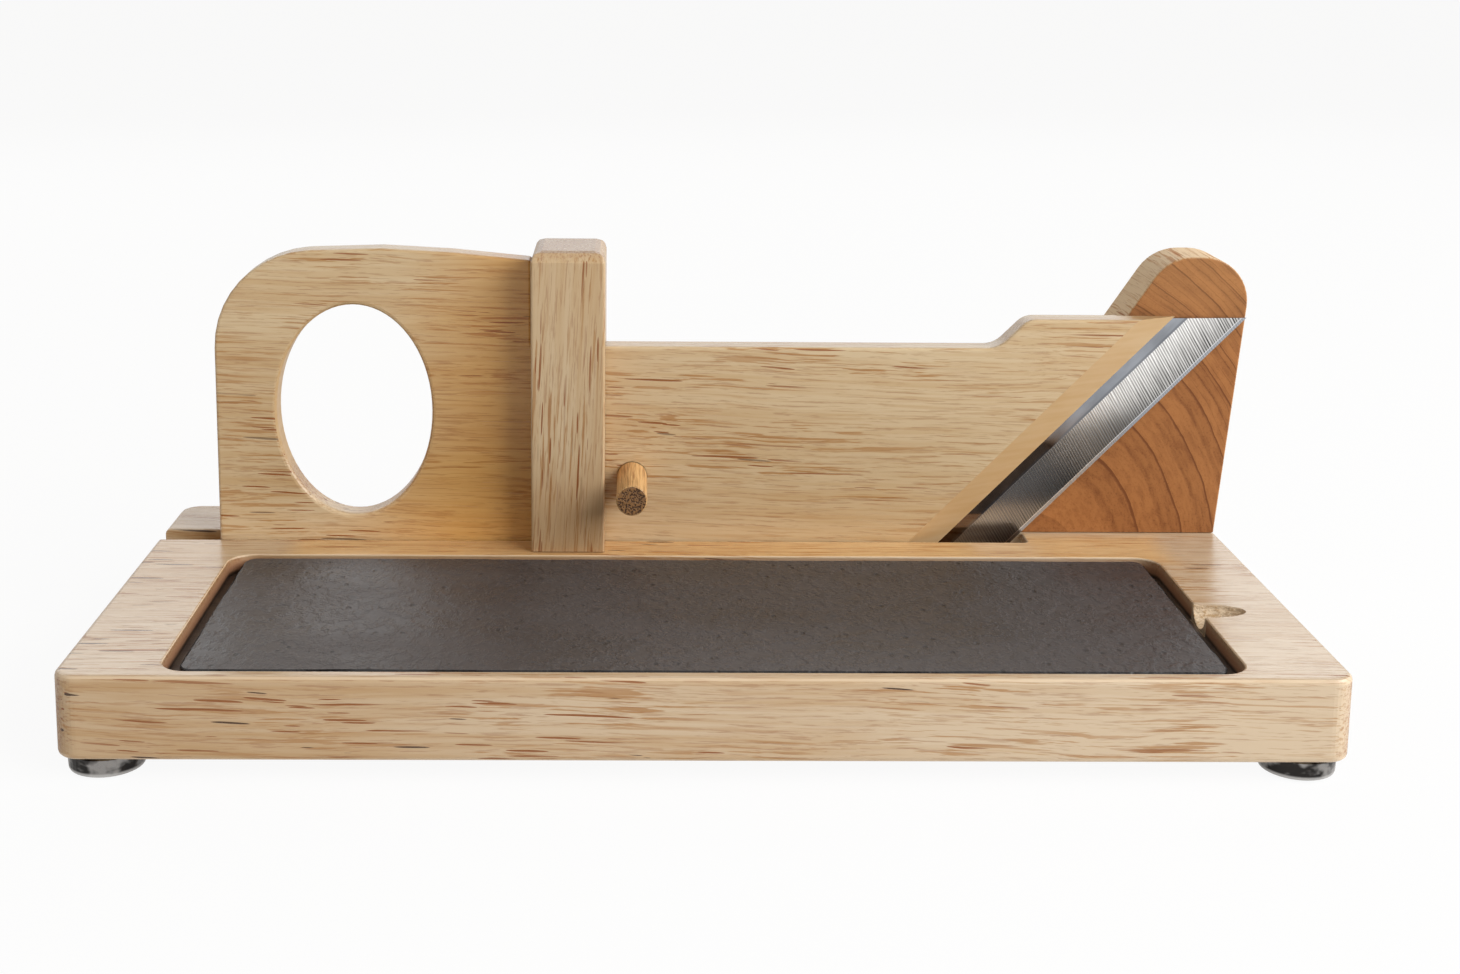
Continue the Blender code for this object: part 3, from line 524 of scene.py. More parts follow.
def board_finish(settings):
    """Board: long grain, a recess with scorch and painted shade, and a torn finger notch."""
    finish = Finish("board wood", settings.roughness, gloss=settings.gloss)
    low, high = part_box("base_board")
    slate_low, slate_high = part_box("slate_plate")
    pith = (low.y + (high.y - low.y) * 0.6, low.z - 0.11)
    side = finish.place_on("X")
    top = finish.facing(UP, 0.8, 0.95)
    # Painted sheen: paler towards the right end, and on the top paler towards the left.
    paler = finish.ramp(side, low.x, high.x, *BOARD_PAINTED_SHEEN)
    top_painted_sheen = finish.times(top, finish.ramp(side, low.x, high.x * 0.3, *BOARD_TOP_PAINTED_SHEEN))
    open_pores = finish.ramp(side, low.x + 0.06, high.x * 0.6, *BOARD_PORES)
    color, relief, rough = wood_surface(
        finish, "X", settings, pith, seed=3.1, paler=finish.add(paler, top_painted_sheen),
        open_pores=open_pores, slope=(0, 0.02))

    # Painted light: the top between the slate and the slider is painted warmer, for light bounced off
    # the slider.
    bounce_low = (slate_low.x + 0.02, slate_high.y + 0.0016, high.z - 0.0006)
    bounce_high = (high.x - 0.03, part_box("slider_board")[0].y, high.z + 0.001)
    painted_bounce = finish.times(finish.within(bounce_low, bounce_high, 0.012), top)
    color = finish.tinted(painted_bounce, color, tint=(1.2, 1.04, 0.76))
    # Painted highlight on the rounded edges of the board.
    color = painted_edge_highlight(finish, color, finish.eased(0.3), settings, share=0.55)

    recess_low = slate_low - RECESS_MARGIN - Vector((0, 0, 0.001))
    recess_high = slate_high + RECESS_MARGIN
    recess_high.z = high.z - RECESS_RIM
    level = finish.place_on("Z")
    # Painted shade over the scorch: the walls darken with depth, and the floor of the gap beside the
    # slate is painted nearly black.
    painted_depth_shade = finish.ramp(level, high.z - SCORCH_AND_SHADE_REACH, high.z - RECESS_RIM, 1.0, SCORCH_AND_SHADE_AT_RIM)
    cloud = finish.ramp(finish.layer(SCORCH_CLOUD), *SCORCH_PATCHES)
    inside = finish.within(recess_low, recess_high, 0.0002)
    scorch_and_shade = finish.times(finish.times(painted_depth_shade, cloud), inside)
    floor = finish.fade(level, *(slate_low.z + rise for rise in SHADOWED_RECESS_FLOOR))
    burnt = finish.mix(floor, settings.scorch, scaled(settings.scorch, 0.12))
    color = finish.mix(scorch_and_shade, color, burnt)

    notch_low = (recess_high.x - 0.0002, NOTCH_FRONT, high.z - 0.008)
    notch_high = (recess_high.x + NOTCH_LENGTH, NOTCH_REAR, high.z - 0.0005)
    torn = finish.within(notch_low, notch_high, 0.0005)
    fluff = finish.layer(SPLINTERS)
    splinter = finish.mix(finish.ramp(fluff, 0.46, 0.66),
                          scaled(settings.pale, 1.25), settings.tan)
    color = finish.mix(finish.times(torn, 0.85), color, splinter)
    relief = finish.add(relief, finish.times(torn, finish.ramp(fluff, 0.3, 0.7, 0.0, 4.0)))
    rough = finish.add(rough, finish.times(torn, 0.35), finish.times(scorch_and_shade, 0.3))
    return finished_wood(finish, color, relief, rough, tint=(0.92, 0.935, 0.98))


# The painted shade at the post's foot: its cloudy edge and how high it reaches.
POST_SHADE_CLOUD = ((60, 60, 18), 3, 0.5)
SHADED_FOOT = (-0.005, 0.024)


def post_finish(settings):
    """Guide post: upright grain, with painted shade darkening it towards its foot."""
    finish = Finish("post wood", settings.roughness, gloss=settings.gloss * 0.8)
    low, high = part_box("guide_post")
    pith = (low.x - 0.05, high.y + 0.06)
    color, relief, rough = wood_surface(
        finish, "Z", settings, pith, seed=7.7, paler=0.06, open_pores=0.03,
        slope=(-0.055, 0.02), wave=0.35, darkest=0.2)
    # Painted shade: the post darkens and warms towards its foot, with a cloudy edge.
    cloud = finish.layer(POST_SHADE_CLOUD)
    level = finish.minus(finish.place_on("Z"), finish.times(cloud, 0.03))
    foot = finish.ramp(level, low.z + SHADED_FOOT[0], low.z + SHADED_FOOT[1], 0.85, 0.0)
    color = finish.tinted(foot, color, tint=(0.8, 0.68, 0.56))
    # Painted highlight on the rounded edges of the post.
    color = painted_edge_highlight(finish, color, finish.eased(), settings, share=0.15)
    # Painted shade darkens the post's faces that look up.
    return finished_wood(
        finish, shaded_top(finish, color), relief, rough, tint=(0.88, 0.86, 0.81))


SLIDER_PAINTED_SHEEN = (0.09, 0.14)
BUSY_END_PORES = (-0.045, 0.21)
# The painted shadow beside the post: its cloudy edge and how it slants.
POST_SHADOW_CLOUD = ((14, 20, 46), 3, 0.5)
POST_SHADOW_SLANT = 0.26
PLANED_SIDE = (0.7, 0.0, -0.71)
SLICED = ((22, 90, 420), 3, 0.5)
SLICED_TONE = (0.3, 0.7, 0.5, 0.74)
PLANED_ROUGHNESS = (0.42, 0.42, 0.42)


def slider_finish(settings):
    """Slider: long grain, with a painted shadow beside the post, painted light along its foot and a
    plain planed face along the blade.
    """
    finish = Finish("slider wood", settings.roughness, gloss=settings.gloss)
    low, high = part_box("slider_board")
    post_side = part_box("guide_post")[0].x
    pith = (high.y + 0.09, low.z - 0.04)
    side = finish.place_on("X")
    # Painted sheen: the slider is painted slightly paler towards its right end.
    paler = finish.ramp(side, low.x, high.x, *SLIDER_PAINTED_SHEEN)
    busy_low = (low.x - 0.01, low.y - 0.01, low.z + 0.018)
    busy_high = (low.x + 0.045, high.y, low.z + 0.042)
    open_pores = finish.ramp(finish.within(busy_low, busy_high, 0.03), 0.0, 1.0, *BUSY_END_PORES)
    color, relief, rough = wood_surface(
        finish, "X", settings, pith, seed=11.9, paler=paler, open_pores=open_pores,
        slope=(0, 0.03), darkest=0.6)

    # Painted shadow of the post: a warmer, darker zone to its left, narrower towards the top.
    cloud = finish.layer(POST_SHADOW_CLOUD)
    edge = finish.minus(side, finish.times(finish.place_on("Z"), POST_SHADOW_SLANT))
    edge = finish.minus(edge, finish.times(cloud, 0.03))
    post_shadow = finish.times(finish.ramp(edge, post_side - 0.1, post_side - 0.044),
                         finish.fade(side, post_side + 0.004, post_side + 0.03))
    color = finish.tinted(post_shadow, color, tint=(0.98, 0.72, 0.36))
    # Painted light: the slider's foot left of the post is painted lighter and cooler.
    foot_low = (low.x, low.y - 0.01, low.z)
    foot_high = (post_side - 0.012, high.y, low.z + 0.016)
    foot = finish.within(foot_low, foot_high, 0.016)
    color = finish.tinted(foot, color, tint=(1.13, 1.17, 1.25))

    planed = finish.facing(PLANED_SIDE, 0.25, 0.42)
    sliced = finish.ramp(finish.layer(SLICED), *SLICED_TONE)
    color = finish.mix(planed, color, finish.mix(sliced, settings.pale, settings.tan))
    relief = finish.times(relief, finish.minus(1.0, planed))
    rough = finish.mix(planed, finish.gray(rough), PLANED_ROUGHNESS)
    # Painted shade darkens the slider's faces that look up.
    return finished_wood(
        finish, shaded_top(finish, color), relief, rough, tint=(0.96, 0.95, 0.875))


BLOCK_WANDER = ((0, 0.0036, 0.0036), (10, 40, 40), 4)
RAYS = ((11, 620, 40), 3, 0.6)
SPECKS = ((60, 1500, 1500), 2, 0.5)
BLOCK_CLOUD = ((20, 45, 45), 3, 0.5)
CLOUD_SHADE = (0.3, 0.7, 0.0, 0.18)
RAY_SHADE = (0.4, 0.7, 0.0, 0.3)
SPECK_SHADE = (0.5, 0.75, 0.0, 0.26)
SEASON_SHADE = (0.3, 1.0, 0.0, 0.24)
LATE_WOOD = (0.92, 0.975)
LATE_WOOD_SHADE = (0.5, 0.9, 0.0, 0.62)
# Where the band lies in a ring, its half width and its shade.
MIDDLE_BAND = (0.55, 0.12, 0.26)
FINE_LINES_PER_RING = 3.3
FINE_LINE = (0.8, 0.97)
FINE_LINE_SHADE = (3.2, 5.0, 0.08, 0.34)
SAWN_RELIEF = -0.6


def block_finish(settings):
    """Cutting block: growth rings and fine fibres on its sawn ends, long grain on its sides.

    The rings lie closer towards the bark. Each one darkens outwards to a sharp line.
    """
    finish = Finish("block wood", settings.roughness, gloss=settings.gloss * 0.5)
    low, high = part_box("cutting_block")
    pith = (low.z - 0.0167, high.x - 0.0712)
    grain = finish.grain_place("Y")
    wavy = finish.warp(grain, *BLOCK_WANDER)
    squat = finish.stretch(wavy, (1, 1 / settings.ring_height, 1))
    radius = finish.radius(squat, (pith[0] / settings.ring_height, pith[1]))
    spread = finish.math("DIVIDE", radius, settings.ring_spread)
    count = finish.minus(finish.times(spread, spread), 0.25)
    season = finish.math("FRACT", count)
    parts = finish.split(finish.stretch(wavy, (1, 1, 1), (0, -pith[0], -pith[1])))
    turn = finish.math("ARCTAN2", parts["Y"], parts["Z"])
    polar = finish.node("CombineXYZ", {0: turn, 1: radius, 2: parts["X"]}).outputs[0]

    line = finish.times(finish.ramp(season, *LATE_WOOD), finish.ramp(count, *LATE_WOOD_SHADE))
    later = finish.math("FRACT", finish.times(count, FINE_LINES_PER_RING))
    fine_line = finish.times(finish.ramp(later, *FINE_LINE), finish.ramp(count, *FINE_LINE_SHADE))
    shade = finish.add(
        finish.ramp(finish.layer(BLOCK_CLOUD, grain), *CLOUD_SHADE),
        finish.ramp(finish.layer(RAYS, polar), *RAY_SHADE),
        finish.ramp(finish.layer(SPECKS, wavy), *SPECK_SHADE),
        finish.ramp(season, *SEASON_SHADE),
        line,
        finish.near(season, *MIDDLE_BAND),
        fine_line,
        clamp=True)
    ends = finish.mix(shade, settings.end_light, settings.end_dark)
    crown = finish.ramp(finish.place_on("Z"), high.z - 0.04, high.z, 0.0, 0.16)
    ends = finish.mix(crown, ends, settings.tan)

    sides, relief, rough = wood_surface(
        finish, "Y", settings, pith, seed=2.3, paler=0.3, open_pores=-0.1)
    sawn = finish.ramp(finish.normal_parts()["Y"], 0.6, 0.85)
    color = finish.mix(sawn, finish.multiply(sides, tint=(1.09, 1.04, 0.95)), ends)
    relief = finish.mix(sawn, finish.gray(relief), finish.gray(finish.times(shade, SAWN_RELIEF)))
    return finished_wood(finish, color, relief, finish.add(rough, 0.35))


DOWEL_STREAKS = ((70, 1400, 1400), 3, 0.5)
DOWEL_PORES = ((90, 1500, 1500), 2, 0.5)
DOWEL_PALE, DOWEL_DARK = (0.74, 0.45, 0.19), (0.44, 0.22, 0.08)
DOWEL_END_PALE, DOWEL_END_DARK = (0.27, 0.135, 0.05), (0.05, 0.022, 0.01)


def dowel_finish(settings):
    """Turned dowel: fine long grain round its side, dark porous end grain."""
    finish = Finish("dowel wood", settings.roughness + 0.15, gloss=settings.gloss * 0.6)
    grain = finish.grain_place("Y")
    streaks = finish.layer(DOWEL_STREAKS, grain)
    side = finish.mix(finish.ramp(streaks, 0.42, 0.7), DOWEL_PALE, DOWEL_DARK)
    pores = finish.layer(DOWEL_PORES, grain)
    end = finish.mix(finish.ramp(pores, 0.42, 0.62), DOWEL_END_PALE, DOWEL_END_DARK)
    finish.color(finish.mix(finish.ramp(finish.normal_parts()["Y"], 0.6, 0.9), side, end))
    finish.bump(finish.times(finish.ramp(pores, 0.45, 0.6), -1.0), 0.0002, 0.7)
    return finish.material


class GUILLOTINE_OT_board(bpy.types.Operator):
    """Give the board its oiled wood, with the grain along its length"""
    bl_idname = "guillotine.board"
    bl_label = "Board"

    def execute(self, context):
        dress("base_board", board_finish(context.scene.guillotine_wood))
        return {"FINISHED"}


class GUILLOTINE_OT_post(bpy.types.Operator):
    """Give the guide post its wood, with the grain upright"""
    bl_idname = "guillotine.post"
    bl_label = "Guide post"

    def execute(self, context):
        dress("guide_post", post_finish(context.scene.guillotine_wood))
        return {"FINISHED"}


class GUILLOTINE_OT_block(bpy.types.Operator):
    """Give the cutting block its end grain and its long-grained sides"""
    bl_idname = "guillotine.block"
    bl_label = "Cutting block"

    def execute(self, context):
        dress("cutting_block", block_finish(context.scene.guillotine_wood))
        return {"FINISHED"}


class GUILLOTINE_OT_slider(bpy.types.Operator):
    """Give the slider its wood, with the grain along its length"""
    bl_idname = "guillotine.slider"
    bl_label = "Slider"

    def execute(self, context):
        dress("slider_board", slider_finish(context.scene.guillotine_wood))
        return {"FINISHED"}


class GUILLOTINE_OT_pin(bpy.types.Operator):
    """Give the lock pin its dowel wood, with dark end grain"""
    bl_idname = "guillotine.pin"
    bl_label = "Lock pin"

    def execute(self, context):
        dress("lock_pin", dowel_finish(context.scene.guillotine_wood))
        return {"FINISHED"}


# Slate

EDGE_CELL = 0.0008
SIDE_LEVELS = (0.1, 0.34, 0.62, 0.9, 1.0)
# Shares of the chip depth: the least, and what the noise adds.
SIDE_RAGGED = (0.16, 0.22)
EDGE_DROP = (0.28, 0.5)
BOTTOM_DRAWN_IN = 0.25
TOP_SUNK = 0.35
CREASE_ANGLE = radians(18)
STONE_GLOSS = 0.34
STONE_CLOUD = ((18, 30, 60), 5, 0.6)
STONE_GRIT = ((900, 700, 900), 3, 0.7)
STONE_FLAKES = ((210, 150, 200), 4, 0.65)
PITS_PER_METRE = (190, 120, 200)
PIT_SIZE = (0.07, 0.2)
CHIPPED_RIM = (0.0006, 0.0009)
CHIPPED_SHARE = (0.44, 0.58, 0.1, 0.85)


def rounded_place(u, v, half_u, half_v, radius):
    """Moves a point of a square-cornered grid on to a plate with round corners."""
    inner_u = half_u - radius
    inner_v = half_v - radius
    if abs(u) <= inner_u or abs(v) <= inner_v:
        return u, v
    side_u = 1 if u > 0 else -1
    side_v = 1 if v > 0 else -1
    away = Vector((abs(u) - inner_u, abs(v) - inner_v))
    reach = max(away.x, away.y)
    if away.length > 0:
        away *= reach / away.length
    return side_u * (inner_u + away.x), side_v * (inner_v + away.y)


def stone_noise(place, along, across, seed):
    """Noise between -1 and 1, with this many waves per metre along and across the plate."""
    return noise.noise(Vector((place.x * along, place.y * across, seed)))


def chip_depth(place, settings):
    """How far the edge is broken away at this point of the outline, from 0 to 1."""
    wide = stone_noise(place, 70, 70, settings.seed)
    fine = stone_noise(place, 420, 420, settings.seed + 9)
    rough = stone_noise(place, 1300, 1300, settings.seed + 17)
    depth = 0.12 + 0.75 * max(0.0, wide - 0.05) + 0.38 * max(0.0, fine) + 0.18 * rough
    return max(0.0, min(1.0, depth))


def cleft_height(place, settings):
    """Low relief of the split surface, with a few shallow steps."""
    broad = stone_noise(place, 16, 26, settings.seed + 3)
    step = stone_noise(place, 45, 60, settings.seed + 5)
    fine = stone_noise(place, 240, 300, settings.seed + 7)
    terrace = min(1.0, max(0.0, (step - 0.12) * 9))
    return settings.relief * (0.6 * broad + 0.45 * terrace + 0.16 * fine - 0.5)


def grid_place(index, count, half):
    """Even spacing from -half to half, but with narrow outermost cells for the chipped edge."""
    if index == 1:
        return EDGE_CELL - half
    if index == count - 1:
        return half - EDGE_CELL
    return half * (2 * index / count - 1)


def slate_mesh(settings):
    """Split stone plate: low relief on top, ragged chipped edges all round."""
    low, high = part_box("slate_plate")
    center = (low + high) / 2
    half_u = (high.x - low.x) / 2
    half_v = (high.y - low.y) / 2
    thickness = high.z - low.z
    across = round(2 * half_u / settings.cell)
    deep = round(2 * half_v / settings.cell)
    mesh = bmesh.new()
    grid = []
    for row in range(deep + 1):
        line = []
        for column in range(across + 1):
            u = grid_place(column, across, half_u)
            v = grid_place(row, deep, half_v)
            u, v = rounded_place(u, v, half_u, half_v, settings.corner)
            spot = Vector((u, v, 0))
            z = high.z + cleft_height(spot, settings) - settings.relief * TOP_SUNK
            line.append(mesh.verts.new((center.x + u, center.y + v, min(z, high.z))))
        grid.append(line)
    for row in range(deep):
        for column in range(across):
            mesh.faces.new((grid[row][column], grid[row][column + 1],
                            grid[row + 1][column + 1], grid[row + 1][column]))

    rim = grid[0][:-1] + [line[-1] for line in grid[:-1]]
    rim += list(reversed(grid[-1][1:])) + [line[0] for line in reversed(grid[1:])]
    previous = rim
    for level in SIDE_LEVELS:
        ring = []
        for vert in rim:
            spot = vert.co - center
            ragged = stone_noise(spot, 260, 260, settings.seed + 30 * level)
            inward = settings.chip * max(0.0, SIDE_RAGGED[0] + SIDE_RAGGED[1] * ragged)
            if level == SIDE_LEVELS[-1]:
                inward += settings.chip * BOTTOM_DRAWN_IN
            place = center + pulled_in(spot, inward, half_u, half_v)
            ring.append(mesh.verts.new((place.x, place.y, high.z - thickness * level)))
        for index in range(len(rim)):
            after = (index + 1) % len(rim)
            mesh.faces.new((previous[after], previous[index], ring[index], ring[after]))
        previous = ring
    mesh.faces.new(previous)
    for vert in rim:
        spot = vert.co - center
        depth = chip_depth(spot, settings)
        place = center + pulled_in(spot, settings.chip * depth, half_u, half_v)
        drop = settings.chip * (EDGE_DROP[0] + EDGE_DROP[1] * depth)
        vert.co = (place.x, place.y, vert.co.z - drop)
    bmesh.ops.recalc_face_normals(mesh, faces=mesh.faces)
    data = bpy.data.meshes.new("split_slate")
    mesh.to_mesh(data)
    mesh.free()
    data.shade_smooth()
    data.set_sharp_from_angle(angle=CREASE_ANGLE)
    return data


def pulled_in(spot, inward, half_u, half_v):
    """The point of the plate's outline, moved this far towards its middle."""
    u = spot.x * (1 - inward / half_u)
    v = spot.y * (1 - inward / half_v)
    return Vector((u, v, spot.z))


def slate_finish(settings):
    """Dark split stone: cloudy tone, fine pits, thin worn spots on its edges, painted shade on its
    sides and chipped slopes, and painted shade towards its right end.
    """
    finish = Finish("split slate", 0.5, gloss=STONE_GLOSS)
    low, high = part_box("slate_plate")
    cloud = finish.layer(STONE_CLOUD)
    grit = finish.layer(STONE_GRIT)
    flakes = finish.layer(STONE_FLAKES)
    pits = finish.cells(finish.object_place, PITS_PER_METRE)
    pit = finish.fade(pits["Distance"], *PIT_SIZE)
    color = finish.mix(finish.ramp(cloud, 0.3, 0.7),
                       scaled(settings.stone, 0.72), scaled(settings.stone, 1.28))
    for share, factor in ((finish.ramp(grit, 0.35, 0.75, 0.0, 0.5), 1.9),
                          (finish.ramp(flakes, 0.62, 0.7, 0.0, 0.6), 0.35),
                          (finish.times(pit, 0.7), 0.25)):
        color = finish.mix(share, color, scaled(settings.stone, factor))

    depth, soft = CHIPPED_RIM
    edge = Vector((depth, depth, 0))
    inner = finish.within(low + edge, high - edge, soft)
    chipped = finish.times(finish.minus(1.0, inner), finish.ramp(flakes, *CHIPPED_SHARE))
    facet = finish.facing(UP, 0.86, 0.975)
    color = finish.mix(finish.times(chipped, facet), color, settings.worn)
    # Painted shade: faces that don't look up, the plate's sides and chipped slopes, are painted
    # nearly black.
    color = finish.mix(finish.ramp(facet, 0.0, 1.0, 0.92, 0.0), color, scaled(settings.stone, 0.15))
    # Painted shade: the plate darkens towards its right end.
    shaded_end = finish.ramp(finish.place_on("X"), 0.0, high.x, 0.0, 0.16)
    finish.color(finish.mix(shaded_end, color, (0, 0, 0)))
    finish.roughness(finish.ramp(cloud, 0.3, 0.7, 0.42, 0.58))
    height = finish.add(finish.times(grit, 0.35), finish.ramp(flakes, 0.42, 0.62))
    finish.bump(finish.minus(height, pit), 0.00036, 0.7)
    return finish.material


class GUILLOTINE_OT_slate(bpy.types.Operator):
    """Model the split slate plate and put it in the board's recess"""
    bl_idname = "guillotine.slate"
    bl_label = "Slate plate"

    def execute(self, context):
        settings = context.scene.guillotine_slate
        plate = placed("split_slate", slate_mesh(settings))
        plate.data.materials.append(slate_finish(settings))
        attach(plate, "slate")
        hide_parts("slate_plate")
        return {"FINISHED"}


# Metal and rubber

BRUSH_LEAN = -0.26
BRUSH_SWAY = 7.0
LINE_TONE = (-1.0, 1.0, 0.34, 0.62)
BLADE_SMUDGES = ((60, 130, 1), 4, 0.5)
BORDER_SOFTNESS = 0.0001
SEAM_OFFSET = 0.0004
EDGE_GLINT = (0.8, 0.82, 0.85)
# The seam's half width, its shade and the half width of its core.
SEAM = (0.0007, 0.6, 0.0001)
PAINTED_REFLECTION_HEIGHT = (-0.06, -0.026)
LINE_CONTRAST = (2.4, 5.2)
SHINE_ACROSS = (0.74, 1.5)
SHINE_ABOVE_REFLECTION = (0.42, 1.02)
SHINE_AT_FOOT = (-0.105, -0.082, 1.25, 0.88)
# Tint of the painted reflection of the wood on the lower part of the flat.
REFLECTED_WOOD_TINT = (0.62, 0.42, 0.29)
GROUND_ROUGHNESS = (0.3, 0.7, 0.2, 0.1)
SMOOTH_ROUGHNESS = 0.07


def blade_finish(settings):
    """Steel ground in lines across the blade, with a smooth flat beside the wood and a fine edge."""
    finish = Finish("ground steel", 0.2, 1.0)
    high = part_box("blade")[1]
    rise, lean = sin(settings.angle), cos(settings.angle)
    spot = finish.vector("SUBTRACT", finish.object_place, (high.x, 0, high.z))
    back = finish.vector("DOT_PRODUCT", spot, (-rise, 0, lean))
    run = finish.vector("DOT_PRODUCT", spot, (lean, 0, rise))
    across = finish.add(run, finish.times(back, BRUSH_LEAN))
    flat_place = finish.node("CombineXYZ", {0: across, 1: back}).outputs[0]

    pitch = 1 / settings.brush
    uneven = finish.layer(((pitch * 0.35, 14.0, 1.0), 1.0, 0.5), flat_place)
    phase = finish.add(finish.times(across, 2 * pi * pitch), finish.times(uneven, BRUSH_SWAY))
    lines = finish.ramp(finish.math("SINE", phase), *LINE_TONE)
    fine = finish.layer(((pitch * 2.6, 90.0, 1.0), 2.0, 0.6), flat_place)
    tone = finish.add(finish.times(lines, 0.65), finish.times(fine, 0.35))
    smudge = finish.layer(BLADE_SMUDGES, flat_place)
    ground, edge = (finish.fade(back, width - BORDER_SOFTNESS, width + BORDER_SOFTNESS)
                    for width in (settings.grind, settings.edge))
    borders = finish.near(back, settings.edge, 2 * BORDER_SOFTNESS)
    seam = finish.near(back, settings.grind + SEAM_OFFSET, *SEAM)

    # Painted reflection: the lower part of the blade is painted darker, with an orange flat, for the
    # board and the block that it mirrors.
    height = finish.add(run, finish.times(back, 1.5))
    above_reflection = finish.ramp(height, *PAINTED_REFLECTION_HEIGHT)
    contrast = finish.times(finish.minus(tone, 0.5), finish.ramp(above_reflection, 0.0, 1.0, *LINE_CONTRAST))
    # Painted highlight: the ground face is painted brighter towards the flat and at the blade's foot.
    shine = finish.add(contrast, finish.ramp(back, 0.0, settings.grind, *SHINE_ACROSS))
    shine = finish.times(shine, finish.ramp(above_reflection, 0.0, 1.0, *SHINE_ABOVE_REFLECTION))
    shine = finish.times(shine, finish.ramp(height, *SHINE_AT_FOOT))
    brushed = finish.multiply(settings.steel, finish.gray(shine))
    flat = finish.mix(finish.ramp(smudge, 0.3, 0.7),
                      scaled(settings.flat, 0.75), scaled(settings.flat, 1.15))
    flat = finish.multiply(flat, finish.mix(above_reflection, REFLECTED_WOOD_TINT, WHITE))
    flat = finish.mix(seam, flat, scaled(settings.flat, 0.45))
    color = finish.mix(ground, flat, brushed)
    color = finish.mix(finish.times(edge, 0.7), color, scaled(settings.flat, 1.3))
    finish.color(finish.mix(borders, color, EDGE_GLINT))
    rough = finish.times(ground, finish.ramp(tone, *GROUND_ROUGHNESS))
    finish.roughness(finish.add(rough, SMOOTH_ROUGHNESS))
    finish.bump(finish.times(tone, ground), 0.00008, 0.6)
    return finish.material


class GUILLOTINE_OT_blade(bpy.types.Operator):
    """Give the blade its ground steel"""
    bl_idname = "guillotine.blade"
    bl_label = "Blade"

    def execute(self, context):
        dress("blade", blade_finish(context.scene.guillotine_blade))
        return {"FINISHED"}


CORNERS = ("front_left", "front_right", "rear_left", "rear_right")
FOOT_SMUDGES_AND_REFLECTIONS = ((110, 110, 150), 3, 0.6)
FOOT_TURNING = ((20, 20, 2600), 2, 0.5)
FOOT_DARK, FOOT_BRIGHT, FOOT_RIM_HIGHLIGHT = (0.032, 0.03, 0.029), (0.32, 0.312, 0.305), (0.62, 0.61, 0.6)
RIM_TOP = (0.0013, 0.0021, 0.75, 0.0)
SCRATCHES = ((1800, 300, 900), 3, 0.5)
SCREW_DARK, SCREW_BRIGHT = (0.46, 0.46, 0.47), (0.62, 0.62, 0.63)
RUBBER_DUST = ((700, 700, 700), 3, 0.5)
RUBBER_BLACK, RUBBER_DUSTY = (0.022, 0.022, 0.022), (0.055, 0.052, 0.05)


def polished_finish():
    """Dark polished steel with smudges and painted reflections as dark and bright blotches, a painted
    highlight on its lower rim, and slight dents so that what it mirrors breaks up.
    """
    finish = Finish("polished steel", 0.2, 1.0)
    smudge = finish.layer(FOOT_SMUDGES_AND_REFLECTIONS)
    # Painted reflections: dark and bright blotches, then a painted highlight on the lower rim.
    steel = finish.mix(finish.ramp(smudge, 0.42, 0.58), FOOT_DARK, FOOT_BRIGHT)
    finish.color(finish.mix(finish.ramp(finish.place_on("Z"), *RIM_TOP), steel, FOOT_RIM_HIGHLIGHT))
    finish.roughness(finish.ramp(smudge, 0.3, 0.7, 0.16, 0.28))
    finish.bump(finish.layer(FOOT_TURNING), 0.00006, 0.5)
    return finish.material


def screw_finish():
    """Plain bright screw steel with light scratches."""
    finish = Finish("screw steel", 0.34, 1.0)
    scratch = finish.layer(SCRATCHES)
    finish.color(finish.mix(finish.ramp(scratch, 0.35, 0.65), SCREW_DARK, SCREW_BRIGHT))
    finish.roughness(finish.ramp(scratch, 0.3, 0.7, 0.26, 0.42))
    return finish.material


def rubber_finish():
    """Matt black rubber with a fine moulded texture."""
    finish = Finish("pad rubber", 0.8)
    dust = finish.layer(RUBBER_DUST)
    finish.color(finish.mix(finish.ramp(dust, 0.4, 0.7), RUBBER_BLACK, RUBBER_DUSTY))
    finish.bump(dust, 0.00008, 0.5)
    return finish.material


class GUILLOTINE_OT_feet(bpy.types.Operator):
    """Give the feet their polished steel and their pads black rubber"""
    bl_idname = "guillotine.feet"
    bl_label = "Feet"

    def execute(self, context):
        steel = polished_finish()
        rubber = rubber_finish()
        for corner in CORNERS:
            dress("foot_" + corner, steel)
            dress("foot_pad_" + corner, rubber)
        return {"FINISHED"}


class GUILLOTINE_OT_screws(bpy.types.Operator):
    """Give every screw its bright steel"""
    bl_idname = "guillotine.screws"
    bl_label = "Screws"

    def execute(self, context):
        steel = screw_finish()
        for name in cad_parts:
            if "screw" in name:
                dress(name, steel)
        return {"FINISHED"}


# Studio

FLOOR_RADIUS = 60.0
FLOOR_SIDES = 96
FLOOR_GAP = 0.0002
FLOOR_COLOR = (0.86, 0.86, 0.86, 1.0)
FLOOR_GLOW_SEEN = 0.93
FLOOR_GLOW_MIRRORED = 0.35
AMBIENT_COLOR = (1.0, 0.9, 0.76)
# Where each light stands, and its width and height.
LIGHTS = {
    "key": ((1.22, -0.76, 0.86), (1.7, 0.9)),
    "fill": ((-1.2, -0.9, 0.9), (1.0, 1.0)),
    "back": ((-0.25, 1.5, 0.95), (2.8, 0.8)),
}


def soft_light(name, place, size, power, target):
    """Rectangular area light at place that faces target."""
    data = bpy.data.lights.new(name, "AREA")
    data.shape = "RECTANGLE"
    data.size, data.size_y = size
    data.energy = power
    lamp = placed(name, data)
    lamp.location = place
    lamp.rotation_euler = (target - Vector(place)).to_track_quat("-Z", "Y").to_euler()
    lamp.visible_camera = False


